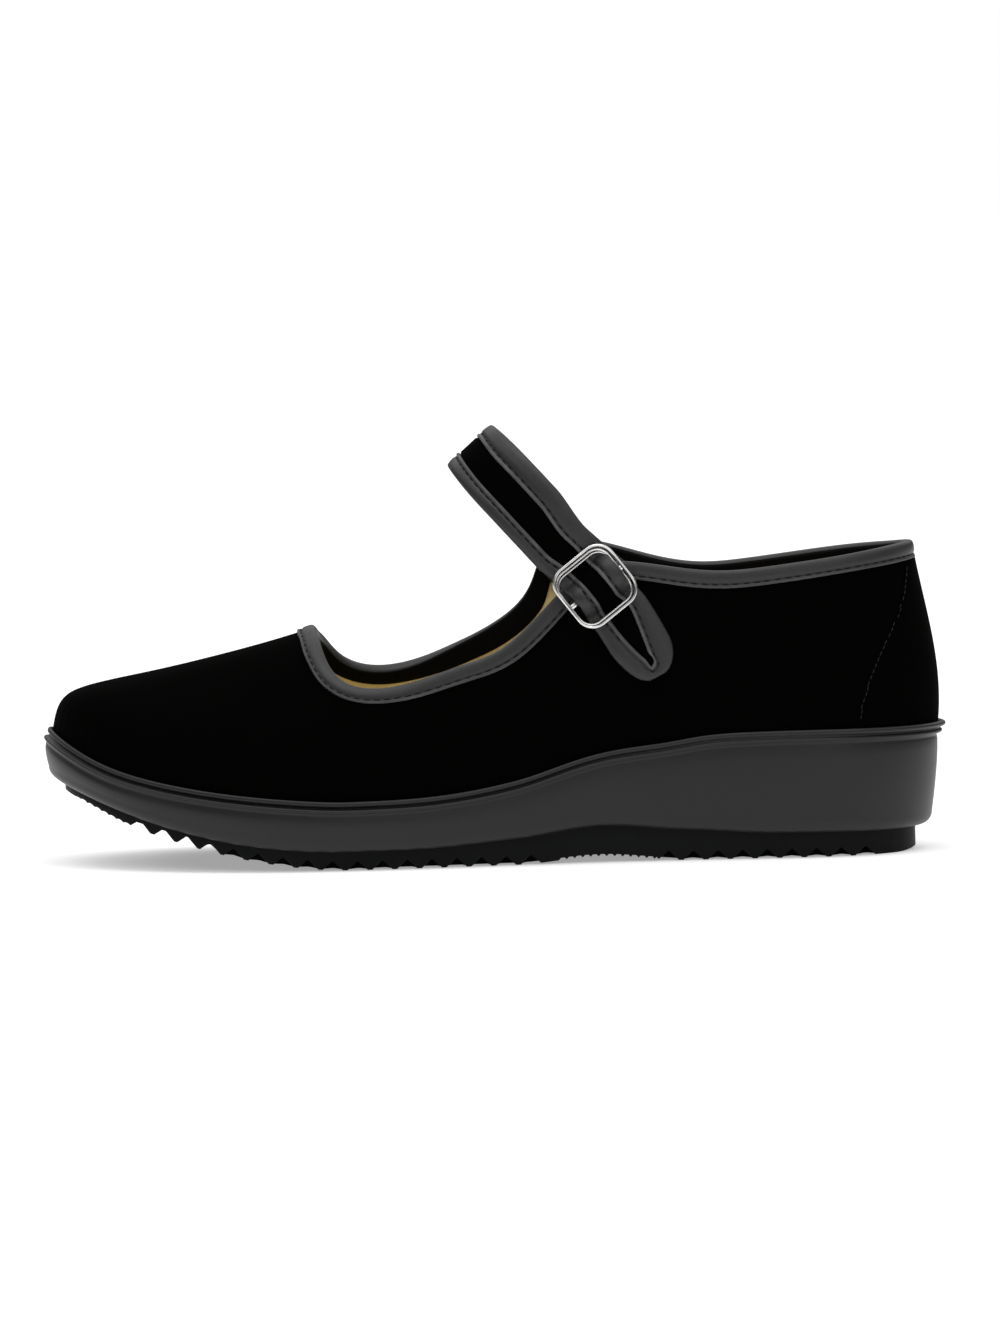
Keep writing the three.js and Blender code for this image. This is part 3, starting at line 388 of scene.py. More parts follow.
class Last:
    """The foot form that upper, tape, lining and sole all follow."""

    HEEL_END = 12.0
    HEEL_TIP = 5.0
    U_STEP = 0.05
    V_STEP = 0.02
    SEARCHES = 9

    def __init__(self, sizes: ShoeSizes) -> None:
        """Runs smooth columns through the tables."""
        self.sizes = sizes
        xs = [row[0] * sizes.last_length for row in SOLE_LENGTHWISE]
        self.thin, self.wedge, self.lip = (
            Column(xs, [float(row[k]) for row in SOLE_LENGTHWISE]) for k in (1, 2, 3)
        )
        rows = [self.row(k) for k in range(ROWS)]
        knots = [0.0]
        for before, after in zip(rows, rows[1:]):
            knots.append(knots[-1] + math.hypot(after["x"] - before["x"], after["y"] - before["y"]))
        closing = math.hypot(rows[0]["x"] - rows[-1]["x"], rows[0]["y"] - rows[-1]["y"])
        self.girth = knots[-1] + closing
        self.around = {key: Column(knots, [row[key] for row in rows], self.girth) for key in rows[0]}
        self.ribs: dict[float, Rib] = {}
        self.slants: dict[float, float] = {}

    def row(self, k: int) -> dict[str, float]:
        """The numbers of one station, counted from the toe round the shoe."""
        sizes = self.sizes
        inner = k > HEEL_ROW
        i = ROWS - k if inner else k
        x, of, outer_side, inner_side = OUTLINE[i]
        width = sizes.ball_width if of == "ball" else sizes.heel_width
        top_x, top_side, high = (INNER_TOPLINE if inner else OUTER_TOPLINE)[i]
        sign = -1.0 if inner else 1.0
        values = {
            "x": x * sizes.last_length,
            "y": sign * (inner_side if inner else outer_side) * width,
            "top_x": top_x * sizes.last_length,
            "top_y": sign * top_side * width,
            "top_z": self.rim_height(top_x * sizes.last_length) + high * sizes.quarter_height,
        }
        values.update(zip(("stand", "bulge", "reach", "drop", "flare", "draft", "bead"), RIB[i]))
        return values

    def tread_height(self, x: float) -> float:
        """Height of the tread's face above the floor: flat below heel and ball, raised at arch and toe."""
        sizes = self.sizes
        share = x / sizes.last_length
        springing = max(0.0, (share - sizes.spring_start) / (1 - sizes.spring_start))
        height = sizes.toe_spring * springing**1.75
        start, end = sizes.heel_lugs[1], sizes.forefoot_lugs[0] + 0.03
        if start < share < end:
            height += sizes.arch_rise * math.sin(math.pi * (share - start) / (end - start)) ** 2
        if x < self.HEEL_END:
            share = (x - self.HEEL_TIP) / (self.HEEL_END - self.HEEL_TIP)
            height += sizes.heel_bevel * max(0.0, 1 - share) ** 2
        return height

    def rim_height(self, x: float) -> float:
        """Height of the sole's rim above the floor."""
        sizes = self.sizes
        raised = (sizes.heel_height - sizes.forefoot_height) * self.wedge.along(x)
        floor = self.tread_height(max(x, self.HEEL_END))
        return floor + sizes.forefoot_height * self.thin.along(x) + raised

    def lip_line(self, x: float) -> float:
        """Height of the lip between the sole's side and its tread."""
        return self.tread_height(max(x, self.HEEL_END)) + self.sizes.lip_height * self.lip.along(x)

    def base(self, u: float) -> Vector:
        """The place on the outline at the rim."""
        x = self.around["x"].at(u)
        return Vector((x, self.around["y"].at(u), self.rim_height(x)))

    def level_normal(self, u: float) -> Vector:
        """The level direction that points out of the shoe at a place on its outline."""
        ahead = self.base(u + self.U_STEP) - self.base(u - self.U_STEP)
        return Vector((ahead.y, -ahead.x, 0.0)).normalized()

    def rib_points(self, u: float) -> tuple[Vector, Vector, Vector, Vector]:
        """The four control points of the rib at a row."""
        value = {key: column.at(u) for key, column in self.around.items()}
        foot = Vector((value["x"], value["y"], self.rim_height(value["x"])))
        top = Vector((value["top_x"], value["top_y"], value["top_z"]))
        inward = Vector((top.x - foot.x, top.y - foot.y, 0.0))
        rise = top.z - foot.z
        stand = foot + UP * (value["stand"] * rise)
        stand += self.level_normal(u) * (value["bulge"] * self.sizes.ball_width)
        reach = top - inward * value["reach"] - UP * (value["drop"] * rise)
        return foot, stand, reach, top

    def rib(self, u: float) -> Rib:
        """The rib at a row, measured once."""
        key = round(u % ROWS, 5)
        if key not in self.ribs:
            self.ribs[key] = Rib(self.rib_points(u))
        return self.ribs[key]

    def face(self, u: float, v: float) -> Vector:
        """A point of the upper's outer face, v from 0 at the rim to 1 at the topline."""
        return self.rib(u).at(v)

    def normal(self, u: float, v: float) -> Vector:
        """The direction out of the upper's face."""
        if v <= 0:
            return self.level_normal(u)
        along_u = self.face(u + 0.04, v) - self.face(u - 0.04, v)
        along_v = self.face(u, min(1.0, v + 0.015)) - self.face(u, max(0.0, v - 0.015))
        return along_u.cross(along_v).normalized()

    def off_face(self, u: float, v: float, out: float) -> Vector:
        """A point at a distance off the upper's face."""
        return self.face(u, v) + self.normal(u, v) * out

    def slant(self, u: float) -> float:
        """The sine of the angle between a rib and the topline, which lays a width square to the edge."""
        key = round(u % ROWS, 5)
        if key not in self.slants:
            along_top = (self.face(u + 0.04, 1) - self.face(u - 0.04, 1)).normalized()
            along_rib = (self.face(u, 1) - self.face(u, 0.97)).normalized()
            self.slants[key] = clamp(along_top.cross(along_rib).length, 0.6, 1.0)
        return self.slants[key]

    def below_top(self, u: float, down: float, out: float) -> Vector:
        """A point at a length below the topline, above it if negative, and a distance off the face."""
        rib = self.rib(u)
        point = self.off_face(u, 1 - down / rib.length, out)
        if down < 0:
            point += (rib.at(1) - rib.at(0.985)).normalized() * -down
        return point

    def quarter_at(self, x: float, z: float, side: int) -> tuple[Vector, Vector]:
        """The quarter's face at a place seen from the side.

        Args:
            x: the place along the shoe.
            z: its height; above the topline the face is taken to go straight up.
            side: 1 for the outer quarter, -1 for the inner one.

        Returns:
            The point and the direction out of the face there.
        """
        u = 9.0 if side > 0 else ROWS - 9.0
        v = 0.8
        for _ in range(self.SEARCHES):
            ribs = [self.rib_points(u), self.rib_points(u + self.U_STEP)]
            here = cubic(ribs[0], v)
            by_u = (cubic(ribs[1], v) - here) / self.U_STEP
            by_v = (here - cubic(ribs[0], v - self.V_STEP)) / self.V_STEP
            miss_x = x - here.x
            miss_z = 0.0 if v > 0.999 and z > here.z else z - here.z
            det = by_u.x * by_v.z - by_v.x * by_u.z
            u += (miss_x * by_v.z - miss_z * by_v.x) / det
            v = clamp(v + (miss_z * by_u.x - miss_x * by_u.z) / det, 0.05, 1.0)
        points = self.rib_points(u)
        point = cubic(points, v)
        by_u = cubic(self.rib_points(u + self.U_STEP), v) - cubic(self.rib_points(u - self.U_STEP), v)
        by_v = point - cubic(points, v - self.V_STEP)
        normal = by_u.cross(by_v).normalized()
        if z > point.z + 0.01:
            point.z = z
            normal.z = 0.0
            normal.normalize()
        return point, normal


class Strand(Measured):
    """A smooth open curve through stops."""

    DIVISIONS = 600
    LOOK_AHEAD = 1e-4

    def __init__(self, stops: Sequence[Vector]) -> None:
        """Measures the curve."""
        self.stops = list(stops)
        self.measure()

    def bare(self, t: float) -> Vector:
        """The point at the curve's own parameter, from 0 to 1."""
        stops = self.stops
        last = len(stops) - 1
        place = clamp(t) * last
        i = min(int(place), last - 1)
        f = place - i
        b, c = stops[i], stops[i + 1]
        a = stops[i - 1] if i > 0 else b * 2 - c
        d = stops[i + 2] if i + 2 <= last else c * 2 - b
        d0, d1, d2 = (math.sqrt((q - p).length) for p, q in ((a, b), (b, c), (c, d)))
        t1 = ((b - a) / d0 - (c - a) / (d0 + d1) + (c - b) / d1) * d1
        t2 = ((c - b) / d1 - (d - b) / (d1 + d2) + (d - c) / d2) * d1
        return b + t1 * f + (c * 3 - b * 3 - t1 * 2 - t2) * f**2 + (b * 2 - c * 2 + t1 + t2) * f**3

    def at(self, length: float) -> tuple[Vector, Vector]:
        """The point and the direction at a length from the start."""
        t = self.parameter(length)
        ahead = self.bare(min(1.0, t + self.LOOK_AHEAD)) - self.bare(max(0.0, t - self.LOOK_AHEAD))
        return self.bare(t), ahead.normalized()


class BuckleSeat:
    """The buckle's frame on the outer quarter, and the heights of the layers that pass through it."""

    def __init__(self, last: Last, sizes: StrapSizes) -> None:
        """Finds the seat and stacks the layers."""
        gap = last.sizes.gap
        lean = math.radians(sizes.lean)
        self.climb = Vector((math.sin(lean), 0, math.cos(lean)))
        self.across = Vector((math.cos(lean), 0, -math.sin(lean)))
        self.taped_half = sizes.core / 2 + gap + sizes.tape_thickness
        self.on_quarter = gap + self.taped_half
        self.on_tape = gap + sizes.topline_tape + self.on_quarter
        between = (self.on_quarter + self.on_tape) / 2
        self.height = between + self.taped_half + 2.5 * gap + sizes.buckle_thickness / 2
        self.bar_height = self.height - sizes.buckle_thickness / 2
        self.keeper_half = sizes.buckle_thickness / 2 + gap + sizes.keeper_thickness
        self.over_bar = self.bar_height + self.keeper_half + gap * 1.6 + self.taped_half
        x = sizes.seat_x * last.sizes.last_length
        z = last.rim_height(x) + sizes.seat_high * last.sizes.quarter_height
        self.point, self.face = last.quarter_at(x, z, 1)
        turn = Matrix.Rotation(math.radians(-sizes.buckle_turn), 3, OUTWARDS)
        down = turn @ -self.climb
        self.lengthwise = (down - self.face * down.dot(self.face)).normalized()
        self.widthwise = self.face.cross(self.lengthwise).normalized()

    def at(self, along: float, aside: float, height: float) -> Vector:
        """A point counted from the buckle's middle, down the tail, forwards and off the quarter."""
        return self.point + self.lengthwise * along + self.widthwise * aside + self.face * height


class StrapPath:
    """The strap's course: from inside the inner quarter, over the instep and through the buckle to the tip."""

    ASIDE_STEP = 2.0
    LENGTH_STEP = 2.0

    def __init__(self, last: Last, sizes: StrapSizes, seat: BuckleSeat) -> None:
        """Lays the strap's middle line."""
        self.last = last
        self.sizes = sizes
        self.seat = seat
        self.line = Strand(self.stops())
        self.length = self.line.length
        self.tail_top = self.length - sizes.tail
        self.frames: dict[float, tuple[Vector, Vector, Vector, float, int, float]] = {}
        self.falls: dict[tuple[int, int], float] = {}

    def stops(self) -> list[Vector]:
        """Where the strap's middle lies, from the root to the tip."""
        last, sizes, seat = self.last, self.sizes, self.seat
        gap = last.sizes.gap
        root_x = sizes.root_x * last.sizes.last_length
        root_z = last.rim_height(root_x) + sizes.root_high * last.sizes.quarter_height
        inside = -(last.sizes.wall + gap + sizes.topline_tape + gap + seat.taped_half)

        def on_inner(down: float) -> Vector:
            point, normal = last.quarter_at(root_x - seat.climb.x * down, root_z - seat.climb.z * down, -1)
            return point + normal * inside

        stops = [on_inner(sizes.root_depth), on_inner(sizes.root_depth / 2), on_inner(0)]
        start = on_inner(0)
        end = sizes.buckle_length / 2 - sizes.end_width / 2
        landing = seat.at(-end - 2.4, 0, seat.on_tape + 0.3)
        reach = (landing - start).dot(seat.climb)
        for turn in (22, 42, 62, 80, 98, 116, 136, 157):
            angle = math.radians(turn)
            level = math.copysign(abs(math.cos(angle)) ** 0.9, math.cos(angle))
            share = (1 - level) / 2
            height = sizes.rise - reach * share
            stops.append(start.lerp(landing, share) + seat.climb * (height * math.sin(angle) ** 0.85))
        upper, lower, over = seat.on_tape, seat.on_quarter, seat.over_bar
        course = (
            (-end - 2.4, upper + 0.2),
            (-end, upper),
            (-end * 0.78, upper),
            (-end * 0.61, mix(upper, over, 0.05)),
            (-end * 0.45, mix(upper, over, 0.36)),
            (-end * 0.3, mix(upper, over, 0.76)),
            (-end * 0.14, mix(upper, over, 0.97)),
            (0.0, over),
            (end * 0.14, mix(lower, over, 0.97)),
            (end * 0.3, mix(lower, over, 0.75)),
            (end * 0.45, mix(lower, over, 0.35)),
            (end * 0.61, mix(lower, over, 0.05)),
            (end * 0.78, lower),
            (end, lower),
        )
        stops.extend(seat.at(along, 0, height) for along, height in course)
        side = seat.at(end, 0, 0)
        for extra in sizes.tail_turn:
            turn = math.radians(sizes.lean + extra)
            step = sizes.tail / len(sizes.tail_turn)
            side = side - Vector((math.sin(turn), 0, math.cos(turn))) * step
            point, normal = last.quarter_at(side.x, side.z, 1)
            stops.append(point + normal * lower)
        return stops

    def frame(self, length: float) -> tuple[Vector, Vector, Vector, float, int, float]:
        """The strap's own frame at a length from its root.

        Args:
            length: the length from the root.

        Returns:
            Its middle, width direction and normal, how firmly it lies on a quarter, from 0 to 1, which
            quarter (1 for the outer one) and how far to the side that quarter is.
        """
        key = round(length, 3)
        if key not in self.frames:
            middle, ahead = self.line.at(length)
            across = self.seat.across
            width = (across - ahead * across.dot(ahead)).normalized()
            root, long = self.sizes.root_depth, self.sizes.buckle_length
            rooted = 1 - smoothstep(length, root, root + self.sizes.root_ease)
            tailed = smoothstep(length, self.tail_top - long * 1.4, self.tail_top - long)
            side = 1 if tailed > 0 else -1
            hold = max(rooted, tailed)
            seat_y = self.last.quarter_at(middle.x, middle.z, side)[0].y if hold > 0 else 0.0
            self.frames[key] = (middle, width, ahead.cross(width).normalized(), hold, side, seat_y)
        return self.frames[key]

    def free_point(self, length: float, aside: float) -> Vector:
        """A point of the strap's middle layer before it is laid on a quarter."""
        middle, width = self.frame(length)[:2]
        squared = 1 - smoothstep(length, 0, self.sizes.root_depth * 2)
        lean = math.tan(math.radians(self.sizes.lean))
        return middle + width * aside + self.seat.climb * (squared * min(0.0, aside) * lean)

    def fall(self, i: int, j: int) -> float:
        """How far the quarter falls away from the strap's plane at one knot of a coarse lattice."""
        if (i, j) not in self.falls:
            length, aside = i * self.LENGTH_STEP, j * self.ASIDE_STEP
            middle, _, _, hold, side, seat_y = self.frame(length)
            free = self.free_point(length, aside)
            shift = 0.0
            if hold > 0:
                shift = self.last.quarter_at(free.x, free.z, side)[0].y - seat_y - (free.y - middle.y)
            self.falls[(i, j)] = hold * shift
        return self.falls[(i, j)]

    def point(self, length: float, aside: float, out: float) -> Vector:
        """A point of the strap: near its root and along its tail it follows the quarter it lies on.

        Args:
            length: the length from the root.
            aside: how far along the width direction.
            out: how far along the normal, which points to the foot.

        Returns:
            The point.
        """
        normal = self.frame(length)[2]
        li, aj = clamp(length, 0, self.length) / self.LENGTH_STEP, aside / self.ASIDE_STEP
        i, j = math.floor(li), math.floor(aj)
        f, g = li - i, aj - j
        near = mix(self.fall(i, j), self.fall(i, j + 1), g)
        far = mix(self.fall(i + 1, j), self.fall(i + 1, j + 1), g)
        return self.free_point(length, aside) + normal * (out + mix(near, far, f) * normal.y)

    def half(self, length: float, edge: int) -> float:
        """Half the core's width at a length from the root, on its rear (-1) or front (1) edge."""
        sizes = self.sizes
        core = sizes.width / 2 - self.last.sizes.gap - sizes.tape_thickness
        to_tip = self.length - length
        tip = sizes.tip * (sizes.tip_front if edge > 0 else sizes.tip_rear)
        if to_tip < tip:
            return core * math.sqrt(max(0.0, 1 - (1 - to_tip / tip) ** 2))
        flaring = max(0.0, 1 - length / (sizes.root_depth * 2.6))
        before_tail = (length - self.tail_top) / sizes.buckle_length
        spread = smoothstep(length, self.length * 0.35, self.length * 0.55)
        spread *= 1 - smoothstep(before_tail, -1.5, -1)
        swell = (sizes.front_swell if edge > 0 else sizes.rear_swell) * spread
        if edge < 0:
            necked = smoothstep(before_tail, -2.1, -1.45) * (1 - smoothstep(before_tail, -0.4, 0.05))
            swell -= sizes.neck * necked
        return core + swell + (0.1 if edge > 0 else 1.0) * sizes.root_flare * flaring**2


class Slot(Enum):
    """The record's material slots."""

    VELVET = "velvet"
    TAPE = "tape"
    SOLE = "sole"
    LINING = "lining"
    METAL = "metal"


class Grain(Enum):
    """What a finish's surface is made of."""

    NAP = "nap"
    LEATHER = "leather"
    MOULDED = "moulded"
    TWILL = "twill"
    PLATED = "plated"
    THREAD = "thread"
    PAPER = "paper"


@dataclass(frozen=True)
class Finish:
    """One finish: its colour, its gloss and the grain of its surface."""

    name: str
    grain: Grain
    color: tuple[float, float, float]
    roughness: float
    relief: float = 0.3
    specular: float = 0.5
    metallic: float = 0.0
    sheen: float = 0.0
    sheen_roughness: float = 0.5
    glow: float = 0.0


VELVET = Finish(
    "black_velvet", Grain.NAP, (0.0007, 0.0007, 0.0006), 0.95, relief=0.5, specular=0.01,
    sheen=0.006, sheen_roughness=0.35,
)
BINDING = Finish("black_binding", Grain.LEATHER, (0.0125, 0.0124, 0.0128), 0.46, relief=0.4, specular=0.42)
FACING = Finish("black_facing", Grain.LEATHER, (0.0032, 0.0033, 0.0032), 0.85, relief=0.3, specular=0.02)
TREAD = Finish("black_tread", Grain.MOULDED, (0.0085, 0.0088, 0.0089), 0.7, relief=0.15, specular=0.03)
SOLE = Finish("black_sole", Grain.MOULDED, (0.0066, 0.0067, 0.007), 0.4, relief=0.12, specular=0.35)
LINING = Finish("tan_lining", Grain.TWILL, (0.84, 0.71, 0.4), 0.85, relief=0.3, specular=0.2, sheen=0.1)
CHROME = Finish("bright_nickel", Grain.PLATED, (0.74, 0.73, 0.72), 0.16, relief=0.04, metallic=1.0)
THREAD = Finish("black_thread", Grain.THREAD, (0.004, 0.004, 0.0042), 0.6, relief=0.4, specular=0.2)
WORN_THREAD = Finish("worn_thread", Grain.THREAD, (0.011, 0.011, 0.0115), 0.6, relief=0.4, specular=0.2)
FLOOR = Finish("white_floor", Grain.PAPER, (0.9, 0.9, 0.9), 0.8, specular=0.05, glow=0.35)


class Dye:
    """Turns finishes into node materials, each made once."""

    def __init__(self) -> None:
        """Starts with no material made."""
        self.made: dict[str, bpy.types.Material] = {}

    def material(self, finish: Finish) -> bpy.types.Material:
        """The material of a finish."""
        if finish.name not in self.made:
            self.made[finish.name] = self.build(finish)
        return self.made[finish.name]

    def build(self, finish: Finish) -> bpy.types.Material:
        """Builds one material.

        Args:
            finish: the finish to build.

        Returns:
            The new material, with its colour, gloss and relief from its own nodes.
        """
        material = bpy.data.materials.new(finish.name)
        material.use_nodes = True
        tree = material.node_tree
        shader = tree.nodes["Principled BSDF"]
        for socket, value in (
            ("Base Color", (*finish.color, 1)),
            ("Roughness", finish.roughness),
            ("Metallic", finish.metallic),
            ("Specular IOR Level", finish.specular),
            ("Sheen Weight", finish.sheen),
            ("Sheen Roughness", finish.sheen_roughness),
            ("Emission Color", (1, 1, 1, 1)),
            ("Emission Strength", finish.glow),
        ):
            shader.inputs[socket].default_value = value
        getattr(self, finish.grain.value)(Tree(tree, shader, finish))
        return material

    def nap(self, tree: "Tree") -> None:
        """Short pile: fine tufts, and broad patches brushed one way or the other."""
        tufts = tree.noise(2600, detail=3, roughness=0.6)
        brushed = tree.noise(55, detail=3, roughness=0.55, distortion=0.6)
        tree.color(tree.shares(brushed, tufts, 0.55), 0.55, 1.7)
        tree.gloss(brushed, 0.86, 1.0)
        tree.relief((tufts, 0.00012), (brushed, 0.0002))

    def leather(self, tree: "Tree") -> None:
        """Imitation leather: small pebbles with fine wrinkles between them."""
        pebbles = tree.cells(1900)
        wrinkles = tree.noise(900, detail=4, roughness=0.6, distortion=1.2)
        painted_light_and_wear = tree.noise(60, detail=3)
        tree.color(tree.shares(painted_light_and_wear, pebbles, 0.4), 0.75, 1.35, reads_painted_light=True)
        tree.gloss(tree.shares(painted_light_and_wear, wrinkles, 0.5), 0.38, 0.58)
        tree.relief((pebbles, 0.00006), (wrinkles, 0.00005))

    def moulded(self, tree: "Tree") -> None:
        """Moulded polyurethane: a faint orange skin with cloudy patches of gloss."""
        skin = tree.noise(1500, detail=3, roughness=0.55)
        clouds = tree.noise(35, detail=4, roughness=0.6, distortion=0.4)
        tree.color(tree.shares(clouds, skin, 0.3), 0.85, 1.2, reads_painted_light=True)
        tree.gloss(tree.shares(clouds, skin, 0.3), 0.36, 0.5)
        tree.relief((skin, 0.00003), (clouds, 0.0001))

    def twill(self, tree: "Tree") -> None:
        """Cotton twill: fine diagonal lines crossed by threads."""
        lines = tree.waves(1150, (0.0, 0.0, 0.7), distortion=0.6)
        cross = tree.waves(1500, (0.0, 1.2, 0.0), distortion=0.8)
        soiled = tree.noise(40, detail=3)
        tree.color(tree.shares(soiled, lines, 0.35), 0.82, 1.12)
        tree.gloss(soiled, 0.8, 0.95)
        tree.relief((lines, 0.00008), (cross, 0.00005))

    def plated(self, tree: "Tree") -> None:
        """Bright plating with hairline scratches and a little haze."""
        haze = tree.noise(260, detail=4, roughness=0.65)
        scratches = tree.noise(1400, detail=2, stretch=(1, 0.08, 1))
        tree.color(haze, 0.85, 1.08)
        tree.gloss(tree.shares(haze, scratches, 0.5), 0.1, 0.26)
        tree.relief((scratches, 0.00001), (haze, 0.00002))

    def thread(self, tree: "Tree") -> None:
        """Twisted thread."""
        ply = tree.waves(3200, (0.4, 0.3, 0.8), distortion=1.0)
        tree.color(ply, 0.7, 1.4)
        tree.gloss(ply, 0.45, 0.7)
        tree.relief((ply, 0.00005), (ply, 0.00002))

    def paper(self, tree: "Tree") -> None:
        """Plain seamless paper."""
        fibres = tree.noise(700, detail=2)
        tree.color(fibres, 0.995, 1.0)
        tree.gloss(fibres, 0.78, 0.85)
        tree.relief((fibres, 0.00001), (fibres, 0.00001))


Socket = bpy.types.NodeSocket
Triple = tuple[float, float, float]


class Tree:
    """The nodes of one material while it is built."""

    def __init__(self, tree: bpy.types.NodeTree, shader: bpy.types.Node, finish: Finish) -> None:
        """Places the coordinates that all patterns read."""
        self.tree = tree
        self.shader = shader
        self.finish = finish
        self.place = tree.nodes.new("ShaderNodeTexCoord").outputs["Object"]

    def link(self, source: Socket, target: Socket) -> None:
        """Joins two sockets."""
        self.tree.links.new(source, target)

    def mapped(self, turn: Triple, stretch: Triple) -> Socket:
        """The coordinates turned and stretched."""
        mapping = self.tree.nodes.new("ShaderNodeMapping")
        mapping.inputs["Rotation"].default_value = turn
        mapping.inputs["Scale"].default_value = stretch
        self.link(self.place, mapping.inputs["Vector"])
        return mapping.outputs["Vector"]

    def noise(
        self, scale: float, detail: float = 2.0, roughness: float = 0.5, distortion: float = 0.0,
        stretch: Triple = (1.0, 1.0, 1.0),
    ) -> Socket:
        """Soft noise, from 0 to 1."""
        node = self.tree.nodes.new("ShaderNodeTexNoise")
        node.inputs["Scale"].default_value = scale
        node.inputs["Detail"].default_value = detail
        node.inputs["Roughness"].default_value = roughness
        node.inputs["Distortion"].default_value = distortion
        self.link(self.mapped((0, 0, 0), stretch), node.inputs["Vector"])
        return node.outputs["Fac"]

    def cells(self, scale: float) -> Socket:
        """Rounded cells, from 0 at their middles."""
        node = self.tree.nodes.new("ShaderNodeTexVoronoi")
        node.feature = "SMOOTH_F1"
        node.inputs["Scale"].default_value = scale
        node.inputs["Smoothness"].default_value = 0.4
        self.link(self.place, node.inputs["Vector"])
        return node.outputs["Distance"]

    def waves(self, scale: float, turn: Triple, distortion: float) -> Socket:
        """Parallel bands, from 0 to 1."""
        node = self.tree.nodes.new("ShaderNodeTexWave")
        node.inputs["Scale"].default_value = scale
        node.inputs["Distortion"].default_value = distortion
        node.inputs["Detail"].default_value = 1.5
        self.link(self.mapped(turn, (1, 1, 1)), node.inputs["Vector"])
        return node.outputs["Fac"]

    def shares(self, a: Socket, b: Socket, share: float) -> Socket:
        """Two patterns mixed."""
        node = self.tree.nodes.new("ShaderNodeMix")
        node.inputs[0].default_value = share
        self.link(a, node.inputs[2])
        self.link(b, node.inputs[3])
        return node.outputs[0]

    def ranged(self, pattern: Socket, low: float, high: float) -> Socket:
        """A pattern stretched between two values."""
        node = self.tree.nodes.new("ShaderNodeMapRange")
        node.inputs["From Min"].default_value = 0.25
        node.inputs["From Max"].default_value = 0.75
        node.inputs["To Min"].default_value = low
        node.inputs["To Max"].default_value = high
        self.link(pattern, node.inputs["Value"])
        return node.outputs["Result"]

    def color(self, pattern: Socket, dark: float, light: float, reads_painted_light: bool = False) -> None:
        """Varies the finish's colour by a pattern, between two shares of it.

        Args:
            pattern: the pattern.
            dark: the share of the colour at its lows.
            light: the share at its highs.
            reads_painted_light: whether the mesh's painted highlights and painted shade, kept as a float
                attribute, make it paler or darker.
        """
        ramp = self.tree.nodes.new("ShaderNodeValToRGB")
        ramp.color_ramp.elements[0].position = 0.25
        ramp.color_ramp.elements[1].position = 0.75
        for element, share in zip(ramp.color_ramp.elements, (dark, light)):
            element.color = (*(min(1.0, channel * share) for channel in self.finish.color), 1)
        self.link(pattern, ramp.inputs["Fac"])
        if not reads_painted_light:
            self.link(ramp.outputs["Color"], self.shader.inputs["Base Color"])
            return
        # Painted highlight and painted shade: a mesh attribute scales the colour up (paler) or down (darker).
        painted_light_attribute = self.tree.nodes.new("ShaderNodeAttribute")
        painted_light_attribute.attribute_name = "painted_light_and_wear"
        more = self.tree.nodes.new("ShaderNodeMath")
        more.inputs[1].default_value = 1.0
        scaled = self.tree.nodes.new("ShaderNodeVectorMath")
        scaled.operation = "SCALE"
        self.link(painted_light_attribute.outputs["Fac"], more.inputs[0])
        self.link(ramp.outputs["Color"], scaled.inputs["Vector"])
        self.link(more.outputs["Value"], scaled.inputs["Scale"])
        self.link(scaled.outputs["Vector"], self.shader.inputs["Base Color"])

    def gloss(self, pattern: Socket, low: float, high: float) -> None:
        """Varies the roughness by a pattern."""
        self.link(self.ranged(pattern, low, high), self.shader.inputs["Roughness"])

    def relief(self, fine: tuple[Socket, float], broad: tuple[Socket, float]) -> None:
        """Raises two patterns, each by its own height in metres."""
        normal = None
        for pattern, height in (broad, fine):
            node = self.tree.nodes.new("ShaderNodeBump")
            node.inputs["Strength"].default_value = self.finish.relief
            node.inputs["Distance"].default_value = height
            self.link(pattern, node.inputs["Height"])
            if normal:
                self.link(normal, node.inputs["Normal"])
            normal = node.outputs["Normal"]
        self.link(normal, self.shader.inputs["Normal"])


Place = Callable[[int, int], Vector]


def folded(i: int, across: int) -> tuple[bool, float]:
    """Whether a column of a flat closed strip lies on its underside, and its place from -1 to 1 across it."""
    i = i % (2 * across)
    under = i > across
    return under, (2 * across - i if under else i) / across * 2 - 1


